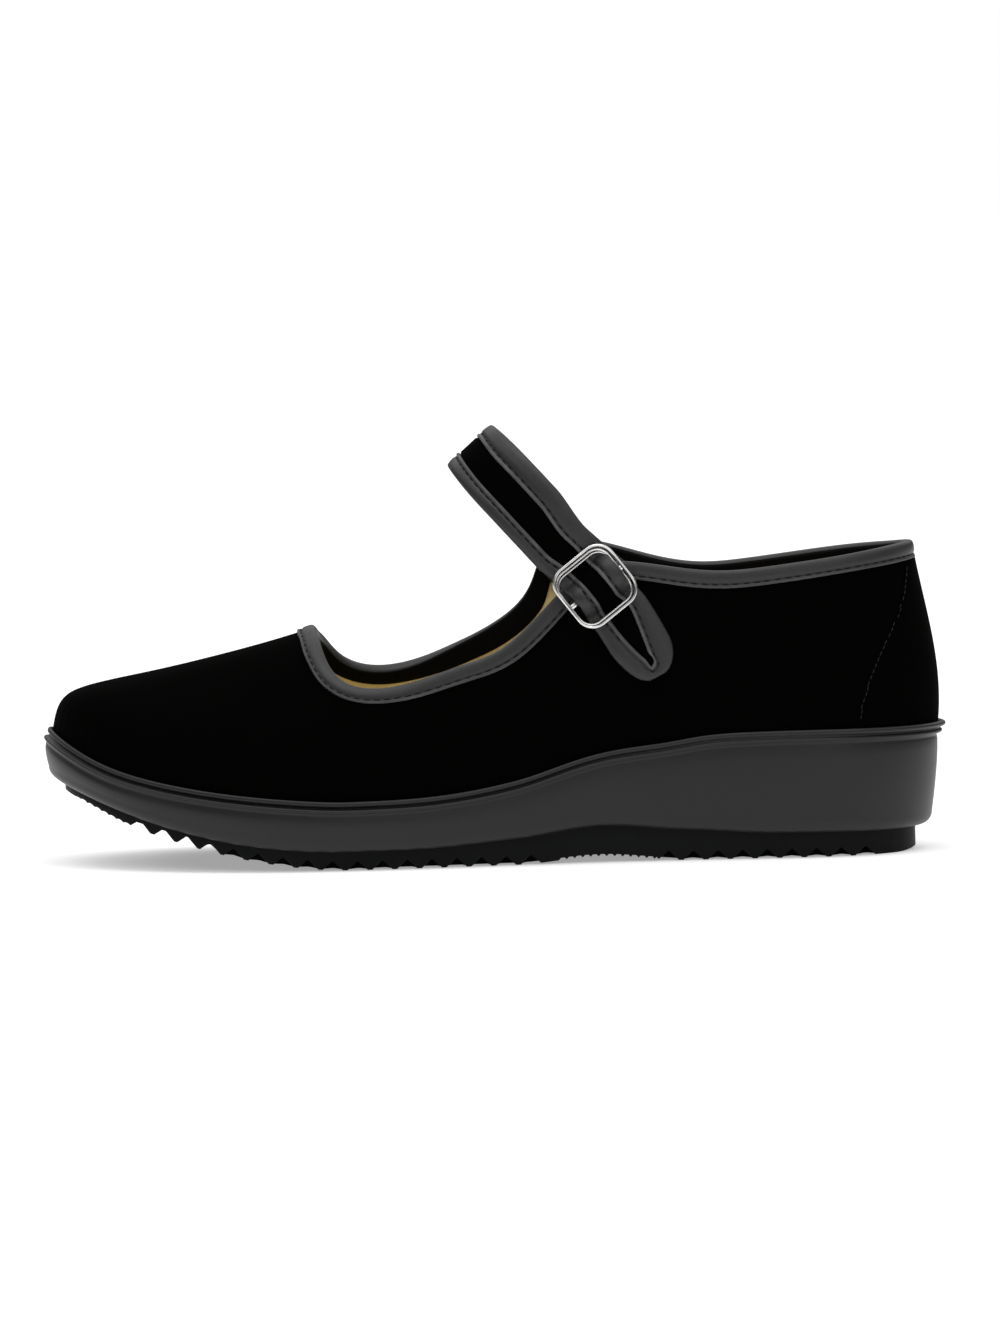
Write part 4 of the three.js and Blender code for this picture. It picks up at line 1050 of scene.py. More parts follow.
@dataclass
class Workshop:
    """Makes finished pieces out of meshes in the last's frame."""

    shift: Vector
    dye: Dye = field(default_factory=Dye)
    weld: float = 2e-6

    def sheet(
        self, across: int, along: int, place: Place, painted_light_and_wear: Callable[[int, int], float] | None = None
    ) -> bmesh.types.BMesh:
        """A grid laid through a mapping.

        Args:
            across: faces from side to side.
            along: faces from end to end.
            place: gives the point of a grid corner, in millimetres.
            painted_light_and_wear: gives how much paler (above 0, painted highlight) or darker (below 0,
                painted shade) the colour is painted at a grid corner.

        Returns:
            The sheet, closed where the mapping comes back to its start, because its corners are welded.
        """
        mesh = bmesh.new()
        bmesh.ops.create_grid(mesh, x_segments=across, y_segments=along, size=1.0)
        half = max(vert.co.x for vert in mesh.verts)
        # Painted highlight and painted shade, stored per grid corner as a float attribute.
        painted_light_attribute = mesh.verts.layers.float.new("painted_light_and_wear") if painted_light_and_wear else None
        for vert in mesh.verts:
            i = round((vert.co.x / half + 1) / 2 * across)
            j = round((vert.co.y / half + 1) / 2 * along)
            vert.co = self.placed(place(i, j))
            if painted_light_attribute:
                vert[painted_light_attribute] = painted_light_and_wear(i, j)
        bmesh.ops.remove_doubles(mesh, verts=mesh.verts, dist=self.weld)
        bmesh.ops.dissolve_degenerate(mesh, edges=mesh.edges, dist=self.weld / 2)
        bmesh.ops.recalc_face_normals(mesh, faces=mesh.faces)
        return mesh

    def placed(self, point: Vector) -> Vector:
        """A point of the last's frame in the row's frame, in metres."""
        return (point + self.shift) * MM

    def piece(
        self, name: str, mesh: bmesh.types.BMesh, finish: Finish, slot: Slot, replaces: Sequence[str] = (),
        smooth: float = 180.0,
    ) -> bpy.types.Object:
        """Turns a mesh into a finished piece that rides on the shoe.

        Args:
            name: the piece's name.
            mesh: its mesh, in metres in the row's frame.
            finish: its finish.
            slot: the record's slot that it stands for; not used.
            replaces: the solids that it stands for.
            smooth: the largest angle in degrees between faces that are shaded as one.

        Returns:
            The new object.
        """
        data = bpy.data.meshes.new(name)
        for face in mesh.faces:
            face.smooth = True
        for edge in mesh.edges:
            if smooth < 180 and edge.is_manifold and edge.calc_face_angle() > math.radians(smooth):
                edge.smooth = False
        mesh.to_mesh(data)
        triangles = sum(len(face.verts) - 2 for face in mesh.faces)
        mesh.free()
        data.materials.append(self.dye.material(finish))
        made = bpy.data.objects.new(name, data)
        bpy.context.scene.collection.objects.link(made)
        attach(made, "root")
        if replaces:
            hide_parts(*replaces)
        LOG.info("%s: %d triangles", name, triangles)
        return made

    def stitches(
        self, places: Sequence[tuple[Vector, Vector, Vector]], length: float, thick: float
    ) -> bmesh.types.BMesh:
        """Short stitches, each a small rounded grain.

        Args:
            places: each stitch's middle, the direction it runs in and the direction out of the cloth.
            length: a stitch's length.
            thick: its thickness.

        Returns:
            One mesh of them all.
        """
        mesh = bmesh.new()
        for middle, ahead, out in places:
            side = out.cross(ahead).normalized()
            up = ahead.cross(side).normalized()
            axes = Matrix((side, ahead.normalized(), up)).transposed().to_4x4()
            sized = axes @ Matrix.Diagonal((thick / 2, length / 2, thick / 2, 1))
            matrix = Matrix.Translation(self.placed(middle)) @ Matrix.Scale(MM, 4) @ sized
            bmesh.ops.create_uvsphere(mesh, u_segments=8, v_segments=6, radius=1.0, matrix=matrix)
        return mesh


@dataclass
class Upper:
    """The velvet upper with its lining, and the stay over its back seam."""

    last: Last
    shop: Workshop
    stations: int = 360
    rows: int = 48
    velvet_inner: float = -0.9
    lining_face: float = -1.8

    def softness(self, u: float, v: float) -> float:
        """How far the cloth stands off the last: soft hollows and swellings that a lasted upper keeps."""
        around = u if u <= HEEL_ROW else u - ROWS
        point = self.last.face(u, v) * 0.02
        soft = 0.16 * noise.noise(point * 1.3) + 0.07 * noise.noise(point * 3.1)
        soft -= 0.35 * hump(abs(around), 6.4, 1.1) * hump(v, 0.62, 0.2)
        soft += 0.22 * hump(abs(around), 8.2, 0.9) * hump(v, 0.45, 0.24)
        soft -= 0.3 * hump(abs(around), 11.6, 1.3) * hump(v, 0.55, 0.25)
        pleats = 0.08 * math.sin(around * 21 + 2.2 * noise.noise(point * 4)) * hump(v, 0.03, 0.09)
        toe = hump(around, 0, 4.2)
        low = smoothstep(v, 0.0, 0.06) * (1 - smoothstep(v, 0.93, 1.0))
        return (soft * low) + pleats * toe

    def rise(self, u: float, share: float) -> float:
        """A share of the way up a rib; on the toe's long ribs, low shares crowd where the face turns."""
        return share ** (1 + max(0.0, self.last.rib(u).length - self.last.sizes.quarter_height) / 45)

    def shell(
        self, rows: int, back_rows: int, top_edge: float, outs: tuple[float, float],
        front: Callable[[float, float, float], tuple[float, float]],
    ) -> bmesh.types.BMesh:
        """A thin closed shell, from inside the sole's cup up to the fold of the tape.

        Args:
            rows: rows up its front.
            back_rows: rows down its back.
            top_edge: how far it stays below the topline.
            outs: how far its front's foot and its back lie off the upper's face.
            front: gives the place up the rib and off the face, from u, a share and the top's place.

        Returns:
            The shell's mesh.
        """
        last, sizes = self.last, self.last.sizes
        steps = rows + back_rows + 3

        def place(i: int, j: int) -> Vector:
            u = i % self.stations * ROWS / self.stations
            j = j % steps
            if j in (0, steps - 1):
                foot = last.base(u) + UP * (sizes.gap - sizes.rim_depth)
                return foot + last.level_normal(u) * outs[0 if j == 0 else 1]
            limit = 1 - top_edge / last.rib(u).length
            if j <= rows:
                return last.off_face(u, *front(u, (j - 1) / (rows - 1), limit))
            return last.off_face(u, (1 - (j - rows - 1) / back_rows) * limit, outs[1])

        return self.shop.sheet(self.stations, steps, place)

    def velvet(self) -> None:
        """The velvet shell."""

        def front(u: float, share: float, limit: float) -> tuple[float, float]:
            v = limit * self.rise(u, share)
            return v, self.softness(u, v)

        mesh = self.shell(self.rows, 8, 0.9, (0.0, self.velvet_inner), front)
        self.shop.piece("upper_velvet", mesh, VELVET, Slot.VELVET, ["upper"])

    def lining(self) -> None:
        """The tan lining inside the velvet, with slight sags."""

        def front(u: float, share: float, limit: float) -> tuple[float, float]:
            v = limit * share
            held = smoothstep(v, 0, 0.1) * (1 - smoothstep(v, 0.8, 1))
            return v, self.lining_face + 0.12 * noise.noise(self.last.face(u, v) * 0.05) * held

        mesh = self.shell(30, 6, 1.2, (self.lining_face, self.velvet_inner - 0.1), front)
        self.shop.piece("upper_lining", mesh, LINING, Slot.LINING, ["upper"])

    def stay(self) -> None:
        """The velvet stay over the back seam, with a stitched edge."""
        last, sizes = self.last, self.last.sizes
        halves = [half + 0.1 * hump(high, 0.5, 0.3) for high, half in STAY_SIDES]
        sides = Column([high for high, _ in STAY_SIDES], halves)
        top_v = 1 - (4.9 + sizes.gap) / last.rib(HEEL_ROW).length
        across, along = 30, 48

        def place(i: int, j: int) -> Vector:
            under, share = folded(i, across)
            v = mix(-0.02, 1.03, j / along)
            half = sides.along(clamp(v, 0.0, 1.0))
            end = 1 if 0 < j < along else 0
            edge = (1 - abs(share) ** 8) * end
            out = 0.02 if under else 0.05 + 0.62 * math.sqrt(edge)
            u = HEEL_ROW + share * half
            return last.off_face(u, clamp(v * top_v, 0.0, 1.0), out)

        mesh = self.shop.sheet(2 * across, along, place)
        self.shop.piece("heel_stay_velvet", mesh, VELVET, Slot.VELVET, ["heel_stay"])
        places = []
        steps = 26
        for sign in (-1, 1):
            for k in range(steps):
                painted_light_and_wear = noise.noise(Vector((k * 1.7, sign * 3.0, 0.6)))
                v = mix(0.05, 0.97, (k + 0.5 + 0.25 * painted_light_and_wear) / steps)
                near = (v - 0.004, v, v + 0.004)
                where = [self.stay_seam(sides, sign, w, top_v, 0.5 + 0.4 * painted_light_and_wear) for w in near]
                out = last.normal(HEEL_ROW + sign * sides.along(v), v * top_v)
                places.append((where[1], (where[2] - where[0]).normalized(), out))
        self.shop.piece("heel_stay_stitches", self.shop.stitches(places, 1.5, 0.24), WORN_THREAD, Slot.VELVET)

    def stay_seam(self, sides: Column, sign: int, v: float, top_v: float, inset: float) -> Vector:
        """A point of the stay's seam, just inside its edge."""
        last = self.last
        u = HEEL_ROW + sign * sides.along(v)
        here = last.face(u, v * top_v)
        step = (last.face(u + 0.01, v * top_v) - here).length / 0.01
        return last.off_face(u - sign * inset / step, v * top_v, 0.66)


@dataclass
class ToplineBinding:
    """The imitation leather tape that is folded over the topline and stitched along its lower edge."""

    last: Last
    shop: Workshop
    stations: int = 540
    stitch_pitch: float = 2.9
    facing_width: float = 6.1
    stitch_down: float = 3.95
    stitch_out: float = 0.46
    # Down from the topline, out of the upper's face, and how much paler or darker the colour is painted:
    # painted highlight on the lower rim and towards the fold's top, painted shade in the stitch groove.
    section: tuple[Triple, ...] = (
        (4.88, 0.04, 1.5),
        (5.02, 0.3, 3.5),
        (4.95, 0.62, 4.0),
        (4.68, 0.82, 2.0),
        (4.38, 0.74, -0.2),
        (4.1, 0.42, -0.8),
        (3.8, 0.38, -0.8),
        (3.45, 0.62, -0.2),
        (3.1, 0.82, 0.0),
        (2.4, 0.93, 0.1),
        (1.6, 0.97, 0.2),
        (0.9, 0.9, 0.3),
        (0.35, 0.66, 0.6),
        (0.02, 0.15, 0.9),
        (-0.14, -0.85, 0.3),
        (0.0, -1.9, 0.0),
        (0.35, -2.42, 0.0),
        (0.95, -2.68, 0.0),
        (2.0, -2.72, 0.0),
        (3.4, -2.6, 0.0),
        (4.4, -2.48, 0.0),
        (5.0, -2.58, 0.0),
        (5.4, -2.5, 0.0),
        (5.55, -2.25, 0.0),
        (5.5, -1.9, 0.0),
        (2.8, -1.9, 0.0),
        (0.85, -1.9, 0.0),
        (0.85, 0.0, 0.0),
        (2.8, 0.02, 0.0),
    )

    def widths(self, u: float) -> float:
        """The tape's width down the rib here as a share of its usual width."""
        return (1 + 0.035 * noise.noise(Vector((u * 0.9, 3.1, 0.4)))) / self.last.slant(u)

    def behind(self, u: float) -> float:
        """How far the tape and its facing reach down inside the shoe, as a share: less round the throat."""
        x = self.last.below_top(u, 0.0, 0.0).x
        return 1 - 0.2 * smoothstep(x, 128, 146) + 0.06 * hump(x, 121, 7) - 0.14 * hump(x, 109, 4.5)

    def point(self, u: float, down: float, out: float) -> Vector:
        """A point of the tape, with its small puckers."""
        wave = noise.noise(Vector((u * 6.0, down * 0.35, 1.7)))
        pucker = 0.07 * wave * smoothstep(down, 0.2, 2.5) if out > 0.1 else 0.0
        return self.last.below_top(u, down * self.widths(u) if down > 0.6 else down, out + pucker)

    def build(self) -> None:
        """Makes the tape and its stitches."""
        count = len(self.section)

        def place(i: int, j: int) -> Vector:
            u = i % self.stations * ROWS / self.stations
            down, out = self.section[j % count][:2]
            return self.point(u, down * (self.behind(u) if out < -1.5 else 1.0), out)

        # Painted highlight on the lower rim and the fold's top, painted shade in the stitch groove, in random
        # patches.
        def painted_light_and_wear(i: int, j: int) -> float:
            patchy = 0.7 + 0.6 * noise.noise(Vector((i * 0.11, 2.0, 7.0)))
            return self.section[j % count][2] * patchy

        mesh = self.shop.sheet(self.stations, count, place, painted_light_and_wear)
        self.shop.piece("topline_binding", mesh, BINDING, Slot.TAPE, ["topline_tape"])
        self.facing()
        places = []
        fine = 2400
        seam = [self.point(k * ROWS / fine, self.stitch_down, self.stitch_out) for k in range(fine + 1)]
        run, due = 0.0, 0.0
        for k in range(1, fine):
            run += (seam[k] - seam[k - 1]).length
            if run >= due:
                due += self.stitch_pitch
                out = self.last.normal(k * ROWS / fine, 0.9)
                places.append((seam[k], (seam[k + 1] - seam[k - 1]).normalized(), out))
        self.shop.piece("topline_stitches", self.shop.stitches(places, 2.0, 0.42), THREAD, Slot.TAPE)

    def facing(self) -> None:
        """The matt black facing behind the tape, inside the shoe."""
        section = [(0.5, -2.62), (1.2, -2.84), (3.0, -2.86), (5.4, -2.78), (self.facing_width, -2.5)]
        section += [(self.facing_width, -2.36), (5.4, -2.62), (3.0, -2.72), (1.2, -2.7)]

        def place(i: int, j: int) -> Vector:
            u = i % self.stations * ROWS / self.stations
            down, out = section[j % len(section)]
            down *= self.behind(u)
            return self.last.below_top(u, down / self.last.slant(u) if down > 0.6 else down, out)

        mesh = self.shop.sheet(self.stations, len(section), place)
        self.shop.piece("topline_facing", mesh, FACING, Slot.TAPE)


@dataclass
class Sole:
    """The moulded wedge sole: bead, ridge, side, lip and a lugged tread."""

    last: Last
    shop: Workshop
    stations: int = 480
    bead: float = 0.68
    bead_rise: float = 0.82
    knurl: tuple[float, float] = (77.0, 106.0)
    serrations: tuple[float, float] = (223.5, 239.0)

    def profile(self, u: float) -> list[tuple[float, float]]:
        """The side of the sole as distances out of the outline and heights.

        Args:
            u: the place round the shoe.

        Returns:
            Points from the cup's floor over the bead, down the side and under the lip to the tread.
        """
        last, sizes = self.last, self.last.sizes
        x = last.around["x"].at(u)
        rim = last.rim_height(x)
        low = last.lip_line(x)
        flare = last.around["flare"].at(u) * sizes.side_flare
        draft = last.around["draft"].at(u) * sizes.side_draft
        bead = last.around["bead"].at(u)
        round_ = min(sizes.lip_round, (rim - low) * 0.3)
        tread = flare - draft - round_ - sizes.tread_step
        points = [(sizes.gap - 0.15, rim - sizes.rim_depth), (sizes.gap - 0.15, rim - self.bead_rise)]
        for k in range(11):
            turn = math.radians(mix(180, -68, k / 10))
            aside = sizes.gap + (0.62 + self.bead * math.cos(turn)) * bead
            points.append((aside, rim - self.bead_rise * (1 - math.sin(turn))))
        edge = max(flare, 0.91 * bead, 0.95) + 0.04
        heelward = smoothstep(abs(u - HEEL_ROW), 8.0, 3.0)
        inset = min(sizes.gap + mix(0.3, 0.85, heelward) * bead, edge - 0.6)
        points.append((inset, rim - 1.8))
        points.append((inset, rim - 2.12))
        for k in range(7):
            turn = math.radians(mix(80, -70, k / 6))
            points.append((edge - 0.5 + 0.5 * math.cos(turn), rim - 2.78 + 0.52 * math.sin(turn)))
        points.append((flare - 0.62, rim - 3.75))
        points.append((flare - 0.5, rim - 4.3))
        start = rim - 5.0
        stop = low + round_
        for k in range(9):
            t = k / 8
            points.append((flare - 0.34 * (1 - t) ** 3 - draft * 0.85 * t**1.35, mix(start, stop, t)))
        for k in range(1, 9):
            turn = math.radians(90 * k / 8)
            points.append(
                (flare - draft * 0.85 - round_ * (1 - math.cos(turn)), low + round_ * (1 - math.sin(turn)))
            )
        points.append((tread, low + 0.02))
        points.append((tread - 1.2, low + 0.3))
        return points

    def body(self) -> None:
        """The sole's side with the cup's floor and its own floor, closed along the middle."""
        last = self.last
        profiles = [self.profile(k * ROWS / self.stations) for k in range(self.stations)]
        frames = [
            (last.base(k * ROWS / self.stations), last.level_normal(k * ROWS / self.stations))
            for k in range(self.stations)
        ]
        cap = 6
        count = len(profiles[0])

        def edge(k: int, j: int) -> Vector:
            foot, out = frames[k % self.stations]
            aside, z = profiles[k % self.stations][j]
            return Vector((foot.x + out.x * aside, foot.y + out.y * aside, z))

        def place(i: int, j: int) -> Vector:
            row = j - cap
            if 0 <= row < count:
                return edge(i, row)
            line = 0 if row < 0 else count - 1
            share = (-row if row < 0 else row - count + 1) / cap
            near = edge(i, line)
            return near.lerp((near + edge(-i, line)) / 2, share)

        mesh = self.shop.sheet(self.stations, count - 1 + 2 * cap, place)
        self.shop.piece("sole_body", mesh, SOLE, Slot.SOLE, ["sole"])

    def tread_outline(self) -> dict[int, list[tuple[float, float]]]:
        """The tread's edge as rows of x and y on either side, each from the heel to the toe."""
        last = self.last
        sides: dict[int, list[tuple[float, float]]] = {1: [], -1: []}
        fine = 1440
        for k in range(fine + 1):
            u = k * ROWS / fine
            foot, out = last.base(u), last.level_normal(u)
            aside = self.profile(u)[-2][0]
            sides[1 if u <= HEEL_ROW else -1].append((foot.x + out.x * aside, foot.y + out.y * aside))
        for points in sides.values():
            points.sort()
        return sides

    def notches(self) -> list[float]:
        """Where the tread is notched, from the heel to the toe."""
        sizes = self.last.sizes
        middles = []
        for (low, high), more in ((sizes.heel_lugs, 1), (sizes.forefoot_lugs, 0)):
            start, stop = low * sizes.last_length, high * sizes.last_length
            count = math.ceil((stop - start) / sizes.lug_pitch) + more
            middles += [start + k * sizes.lug_pitch for k in range(count)]
        return [x + (2.9 if x > 100 else 0.0) - 1.3 * smoothstep(x, 190, 218) for x in middles]

    def groove(self, x: float) -> float:
        """Depth of the pattern cut across the tread at x."""
        sizes = self.last.sizes
        half = (sizes.lug_pitch - sizes.lug_flat) / 2
        away = min(abs(x - middle) for middle in self.notches())
        if away < half:
            return sizes.lug_depth * (1 - away / half)
        for (start, stop), pitch, depth in ((self.knurl, 2.2, 0.75), (self.serrations, 2.05, 0.4)):
            if start <= x <= stop:
                return depth * abs(math.sin(math.pi * (x - start) / pitch)) ** 0.8
        return 0.0

    def cuts(self, low: float, high: float) -> list[float]:
        """The places along the tread where its grid needs a line, so that each groove has sharp edges."""
        sizes = self.last.sizes
        half = (sizes.lug_pitch - sizes.lug_flat) / 2
        lines = [low, high]
        for share in (0.004, 0.012, 0.03, 0.06, 0.1, 0.16, 0.24, 0.34, 0.46, 0.6, 0.8, 1.0):
            lines += [low + 9 * share, high - 9 * share]
        for middle in self.notches():
            lines += [middle - half, middle - half * 0.08, middle + half * 0.08, middle + half]
        for (start, stop), pitch in ((self.knurl, 2.2), (self.serrations, 2.05)):
            steps = round((stop - start) / pitch * 4)
            lines += [start + k * pitch / 4 for k in range(steps + 1)]
        x = low
        while x < high:
            lines.append(x)
            x += 3.5
        lines = sorted(line for line in lines if low <= line <= high)
        kept = [lines[0]]
        for line in lines[1:]:
            if line - kept[-1] > 0.1:
                kept.append(line)
        kept[-1] = high
        return kept

    def tread(self) -> None:
        """The tread: teeth across it, a plain strip along its middle and a low web behind the notches."""
        last, sizes = self.last, self.last.sizes
        sides = self.tread_outline()
        low = min(points[0][0] for points in sides.values())
        high = max(points[-1][0] for points in sides.values())
        lines = self.cuts(low, high)

        def side_y(x: float, side: int) -> float:
            points = sides[side]
            i = clamp(bisect.bisect_left(points, (x, 0.0)), 1, len(points) - 1)
            (x0, y0), (x1, y1) = points[i - 1], points[i]
            return mix(y0, y1, clamp((x - x0) / max(1e-6, x1 - x0)))

        strip = sizes.tread_strip / 2
        count = 22

        def place(i: int, j: int) -> Vector:
            x = lines[j]
            outer, inner = side_y(x, 1), side_y(x, -1)
            if j in (0, len(lines) - 1):
                outer = inner = (outer + inner) / 2
            top = last.lip_line(x) + 0.45
            floor = min(last.tread_height(x) + 1.1 * smoothstep(x, 222, 240), top - 0.9)
            grooved = floor + self.groove(x)
            web = mix(min(grooved, floor + 0.3), grooved, smoothstep(x, 194, 206))
            chamfer = 0.35
            section = (
                (outer, top),
                (outer, mix(grooved, top, 0.5)),
                (outer, grooved + chamfer),
                (outer - chamfer, grooved),
                (outer - 3.6, grooved),
                (outer - 3.9, web),
                (outer - 5.6, web),
                (outer - 5.9, grooved),
                (strip + 0.4, grooved),
                (strip - 0.4, floor),
                (0.0, floor),
                (0.4 - strip, floor),
                (-strip - 0.4, grooved),
                (inner + 5.9, grooved),
                (inner + 5.6, web),
                (inner + 3.9, web),
                (inner + 3.6, grooved),
                (inner + chamfer, grooved),
                (inner, grooved + chamfer),
                (inner, mix(grooved, top, 0.5)),
                (inner, top),
                ((outer + inner) / 2, top),
            )
            y, z = section[i % count]
            return Vector((x, clamp(y, inner, outer), z))

        # Painted shade: the underside in from the edges, with the notches' backs and the web behind them, much
        # darker; the chamfer by each edge half as dark.
        def painted_light_and_wear(i: int, _: int) -> float:
            return -0.92 if 4 <= i % count <= 16 else -0.5 if i % count in (3, 17) else 0.0

        mesh = self.shop.sheet(count, len(lines) - 1, place, painted_light_and_wear)
        self.shop.piece("sole_tread", mesh, TREAD, Slot.SOLE, ["sole"], smooth=35)


@dataclass
class Insole:
    """The cloth-covered insole with a soft dish under the heel."""

    last: Last
    shop: Workshop
    thickness: float = 2.6
    stations: int = 240

    def build(self) -> None:
        """Makes the insole."""
        last, sizes = self.last, self.last.sizes
        rings = 12

        def edge(k: int, down: float, inset: float) -> Vector:
            u = (k % self.stations) * ROWS / self.stations
            foot = last.base(u) - last.level_normal(u) * (sizes.wall + sizes.gap + inset)
            foot.z += sizes.gap - sizes.rim_depth + self.thickness - down
            return foot

        def place(i: int, j: int) -> Vector:
            if j <= rings:
                share = 1 - j / rings
                near = edge(i, 0.0 if j < rings else 0.35, 0.0)
                near = edge(i, 0.0, 0.3) if j == rings - 1 else near
                point = near.lerp((near + edge(-i, 0.0, 0.0)) / 2, share)
                point.z -= 0.9 * smoothstep(share, 0.15, 0.9) * hump(point.x, 38, 34)
                point.z -= 0.5 * smoothstep(share, 0.15, 0.9) * hump(point.x, 165, 40)
                return point
            if j == rings + 1:
                return edge(i, self.thickness, 0.0)
            near = edge(i, self.thickness, 0.0)
            return near.lerp((near + edge(-i, self.thickness, 0.0)) / 2, (j - rings - 1) / 2)

        mesh = self.shop.sheet(self.stations, rings + 3, place)
        self.shop.piece("insole_cover", mesh, LINING, Slot.LINING, ["insole"])


@dataclass
class Strap:
    """The velvet strap with its tape, threaded through the buckle."""

    path: StrapPath
    shop: Workshop
    stitch_pitch: float = 2.7
    leg_rear: float = 1.5
    leg_front: float = -0.3
    tail_rear: float = 2.0
    tail_front: float = 1.0
    tip_lap: float = 4.0

    def lengths(self, step: float) -> list[float]:
        """Evenly spaced lengths from the root to where the tip starts to round."""
        sizes = self.path.sizes
        end = self.path.length - sizes.tip * sizes.tip_front
        count = math.ceil(end / step)
        return [end * k / count for k in range(count + 1)]

    def tips(self, steps: int) -> list[float]:
        """Lengths along the rounding of the tip, crowded towards its end."""
        tip = self.path.sizes.tip * self.path.sizes.tip_front
        start = self.path.length - tip
        return [start + tip * math.sin(math.pi / 2 * k / steps) for k in range(1, steps)]

    def velvet(self) -> None:
        """The strap's velvet, crowned between its tapes."""
        path = self.path
        lengths = self.lengths(1.5) + self.tips(10) + [path.length - 0.01]
        across = 36
        half = path.sizes.core / 2

        def place(i: int, j: int) -> Vector:
            under, share = folded(i, across)
            length = lengths[j]
            end = 1 if 0 < j < len(lengths) - 1 else 0
            edge = 1 if share > 0 else -1
            wide = path.half(length, edge)
            bare = wide + path.sizes.tape_thickness + path.last.sizes.gap - self.lap(length, edge)
            crown = 0.6 * smoothstep(bare - abs(share) * wide, 0.05, 0.45)
            crown += 0.05 * noise.noise(Vector((length * 0.14, share, 0.2)))
            out = half * (1 - abs(share) ** 10) ** 0.5
            return path.point(length, share * wide, out * end if under else -(out + crown) * end)

        mesh = self.shop.sheet(2 * across, len(lengths) - 1, place)
        self.shop.piece("strap_velvet", mesh, VELVET, Slot.VELVET, ["strap"])

    def lap(self, length: float, edge: int) -> float:
        """How far the tape covers the strap from its rear (-1) or front (1) edge, at a length from the root.

        Args:
            length: the length from the root.
            edge: which edge.

        Returns:
            The tape's width: wider along the leg's rear on the outer side, and drawn to a point in the tail.
        """
        path, sizes = self.path, self.path.sizes
        before_tail = (length - path.tail_top) / sizes.buckle_length
        leg = smoothstep(length, path.length * 0.4, path.length * 0.52)
        leg *= 1 - smoothstep(before_tail, -1.7, -0.9)
        tail = smoothstep(before_tail, -0.1, 0.75) * (1 - smoothstep(path.length - length, 3.5, 0.0))
        grown = (self.leg_rear if edge < 0 else self.leg_front) * leg
        grown += (self.tail_rear if edge < 0 else self.tail_front) * tail
        return sizes.tape_width + grown + (0.3 if edge < 0 else 0.0)

    def outline(self, step: float) -> list[tuple[float, float]]:
        """The strap's edge from the root along its front, round the tip and back along its rear."""
        path = self.path
        lengths = self.lengths(step) + self.tips(12)
        front = [(length, path.half(length, 1)) for length in lengths]
        rear = [(length, -path.half(length, -1)) for length in reversed(lengths)]
        return [*front, (path.length, 0.0), *rear]

    def binding(self) -> None:
        """The tape folded round the strap's edge, with a raised stitched rim along its inner side."""
        path, sizes = self.path, self.path.sizes
        gap = path.last.sizes.gap
        half = sizes.core / 2
        full = half + gap + sizes.tape_thickness
        back = -gap - sizes.tape_thickness
        section = (
            (1, -0.05, half + 0.08),
            (1, 0.06, full - 0.2),
            (1, -0.04, full + 0.1),
            (1, -0.35, full + 0.28),
            (1, -0.8, full + 0.24),
            (1, -1.0, full - 0.1),
            (1, -1.2, full - 0.26),
            (1, -1.55, full - 0.2),
            (1, -1.85, full + 0.04),
            (0.45, 0.0, full + 0.12),
            (0.2, 0.0, full + 0.04),
            (0, back + 0.35, full - 0.2),
            (0, back + 0.03, full - 0.55),
            (0, back - 0.06, 0.0),
            (0, back + 0.03, -full + 0.5),
            (0, back + 0.4, -full + 0.12),
            (0.5, 0.0, -full + 0.04),
            (1, -0.4, -full + 0.04),
            (1, 0.0, -full + 0.2),
            (1, -0.05, -half),
            (0, 0.0, -half + 0.02),
            (0, -0.12, 0.0),
            (0, 0.0, half - 0.02),
        )
        rim = self.outline(1.0)
        frames = self.edge_frames(rim)
        count = len(section)

        def place(i: int, j: int) -> Vector:
            frame = frames[j]
            length, side = frame[:2]
            share, more, out = section[i % count]
            if j in (0, len(frames) - 1):
                share, more, out = 0.5, 0.0, 0.0
            crease = 0.06 * noise.noise(Vector((length * 0.5, side, share)))
            proud = self.lapped(length, side)
            if share == 0 and more < -0.2:
                more -= 0.2 * proud
            raised = (crease + 0.26 * proud) if out > 0.3 else 0.0
            return self.inward(frame, share * self.reach(frame) + more, out + raised)

        # Painted highlight on the raised rim and a little towards the fold, painted shade in the stitch groove
        # and round the strap's edge; stronger on the rear edge, in random patches.
        painted_highlight_and_shade = (2.0, 3.0, 4.0, 5.5, 4.5, 0.5, -0.85, -0.85, -0.2, 0.1, 0.2, 0.5, 0.2, -0.5, -0.5)

        def painted_light_and_wear(i: int, j: int) -> float:
            if i % count >= len(painted_highlight_and_shade):
                return 0.0
            length, side = frames[j][:2]
            patchy = 0.75 + 0.5 * noise.noise(Vector((length * 0.3, side * 0.1, 5.0)))
            return painted_highlight_and_shade[i % count] * (1.0 if side < 0 else 0.7) * patchy

        mesh = self.shop.sheet(count, len(frames) - 1, place, painted_light_and_wear)
        self.shop.piece("strap_binding", mesh, BINDING, Slot.TAPE, ["strap_tape"])
        self.stitching(frames, 1.36, full - 0.2)

    def reach(self, frame: tuple[float, float, float, float]) -> float:
        """How far the tape's inner rim lies from the core's edge, without crossing the strap's middle."""
        sizes = self.path.sizes
        length, side, _, aside = frame
        covered = self.lap(length, 1 if side > 0 else -1) if side else self.tip_lap
        covered = mix(self.tip_lap, covered, abs(aside)) - self.path.last.sizes.gap - sizes.tape_thickness
        if abs(aside) > 1e-6:
            covered = min(covered, (abs(side) - 0.12) / abs(aside))
        return max(1.9, covered)

    def inward(self, frame: tuple[float, float, float, float], inset: float, out: float) -> Vector:
        """A point in from the core's edge and out from the foot, kept on its side of the strap's middle."""
        length, side, along, aside = frame
        across = side + aside * inset
        if side * across < 0:
            across = 0.0
        return self.path.point(length + along * inset, across, -out)

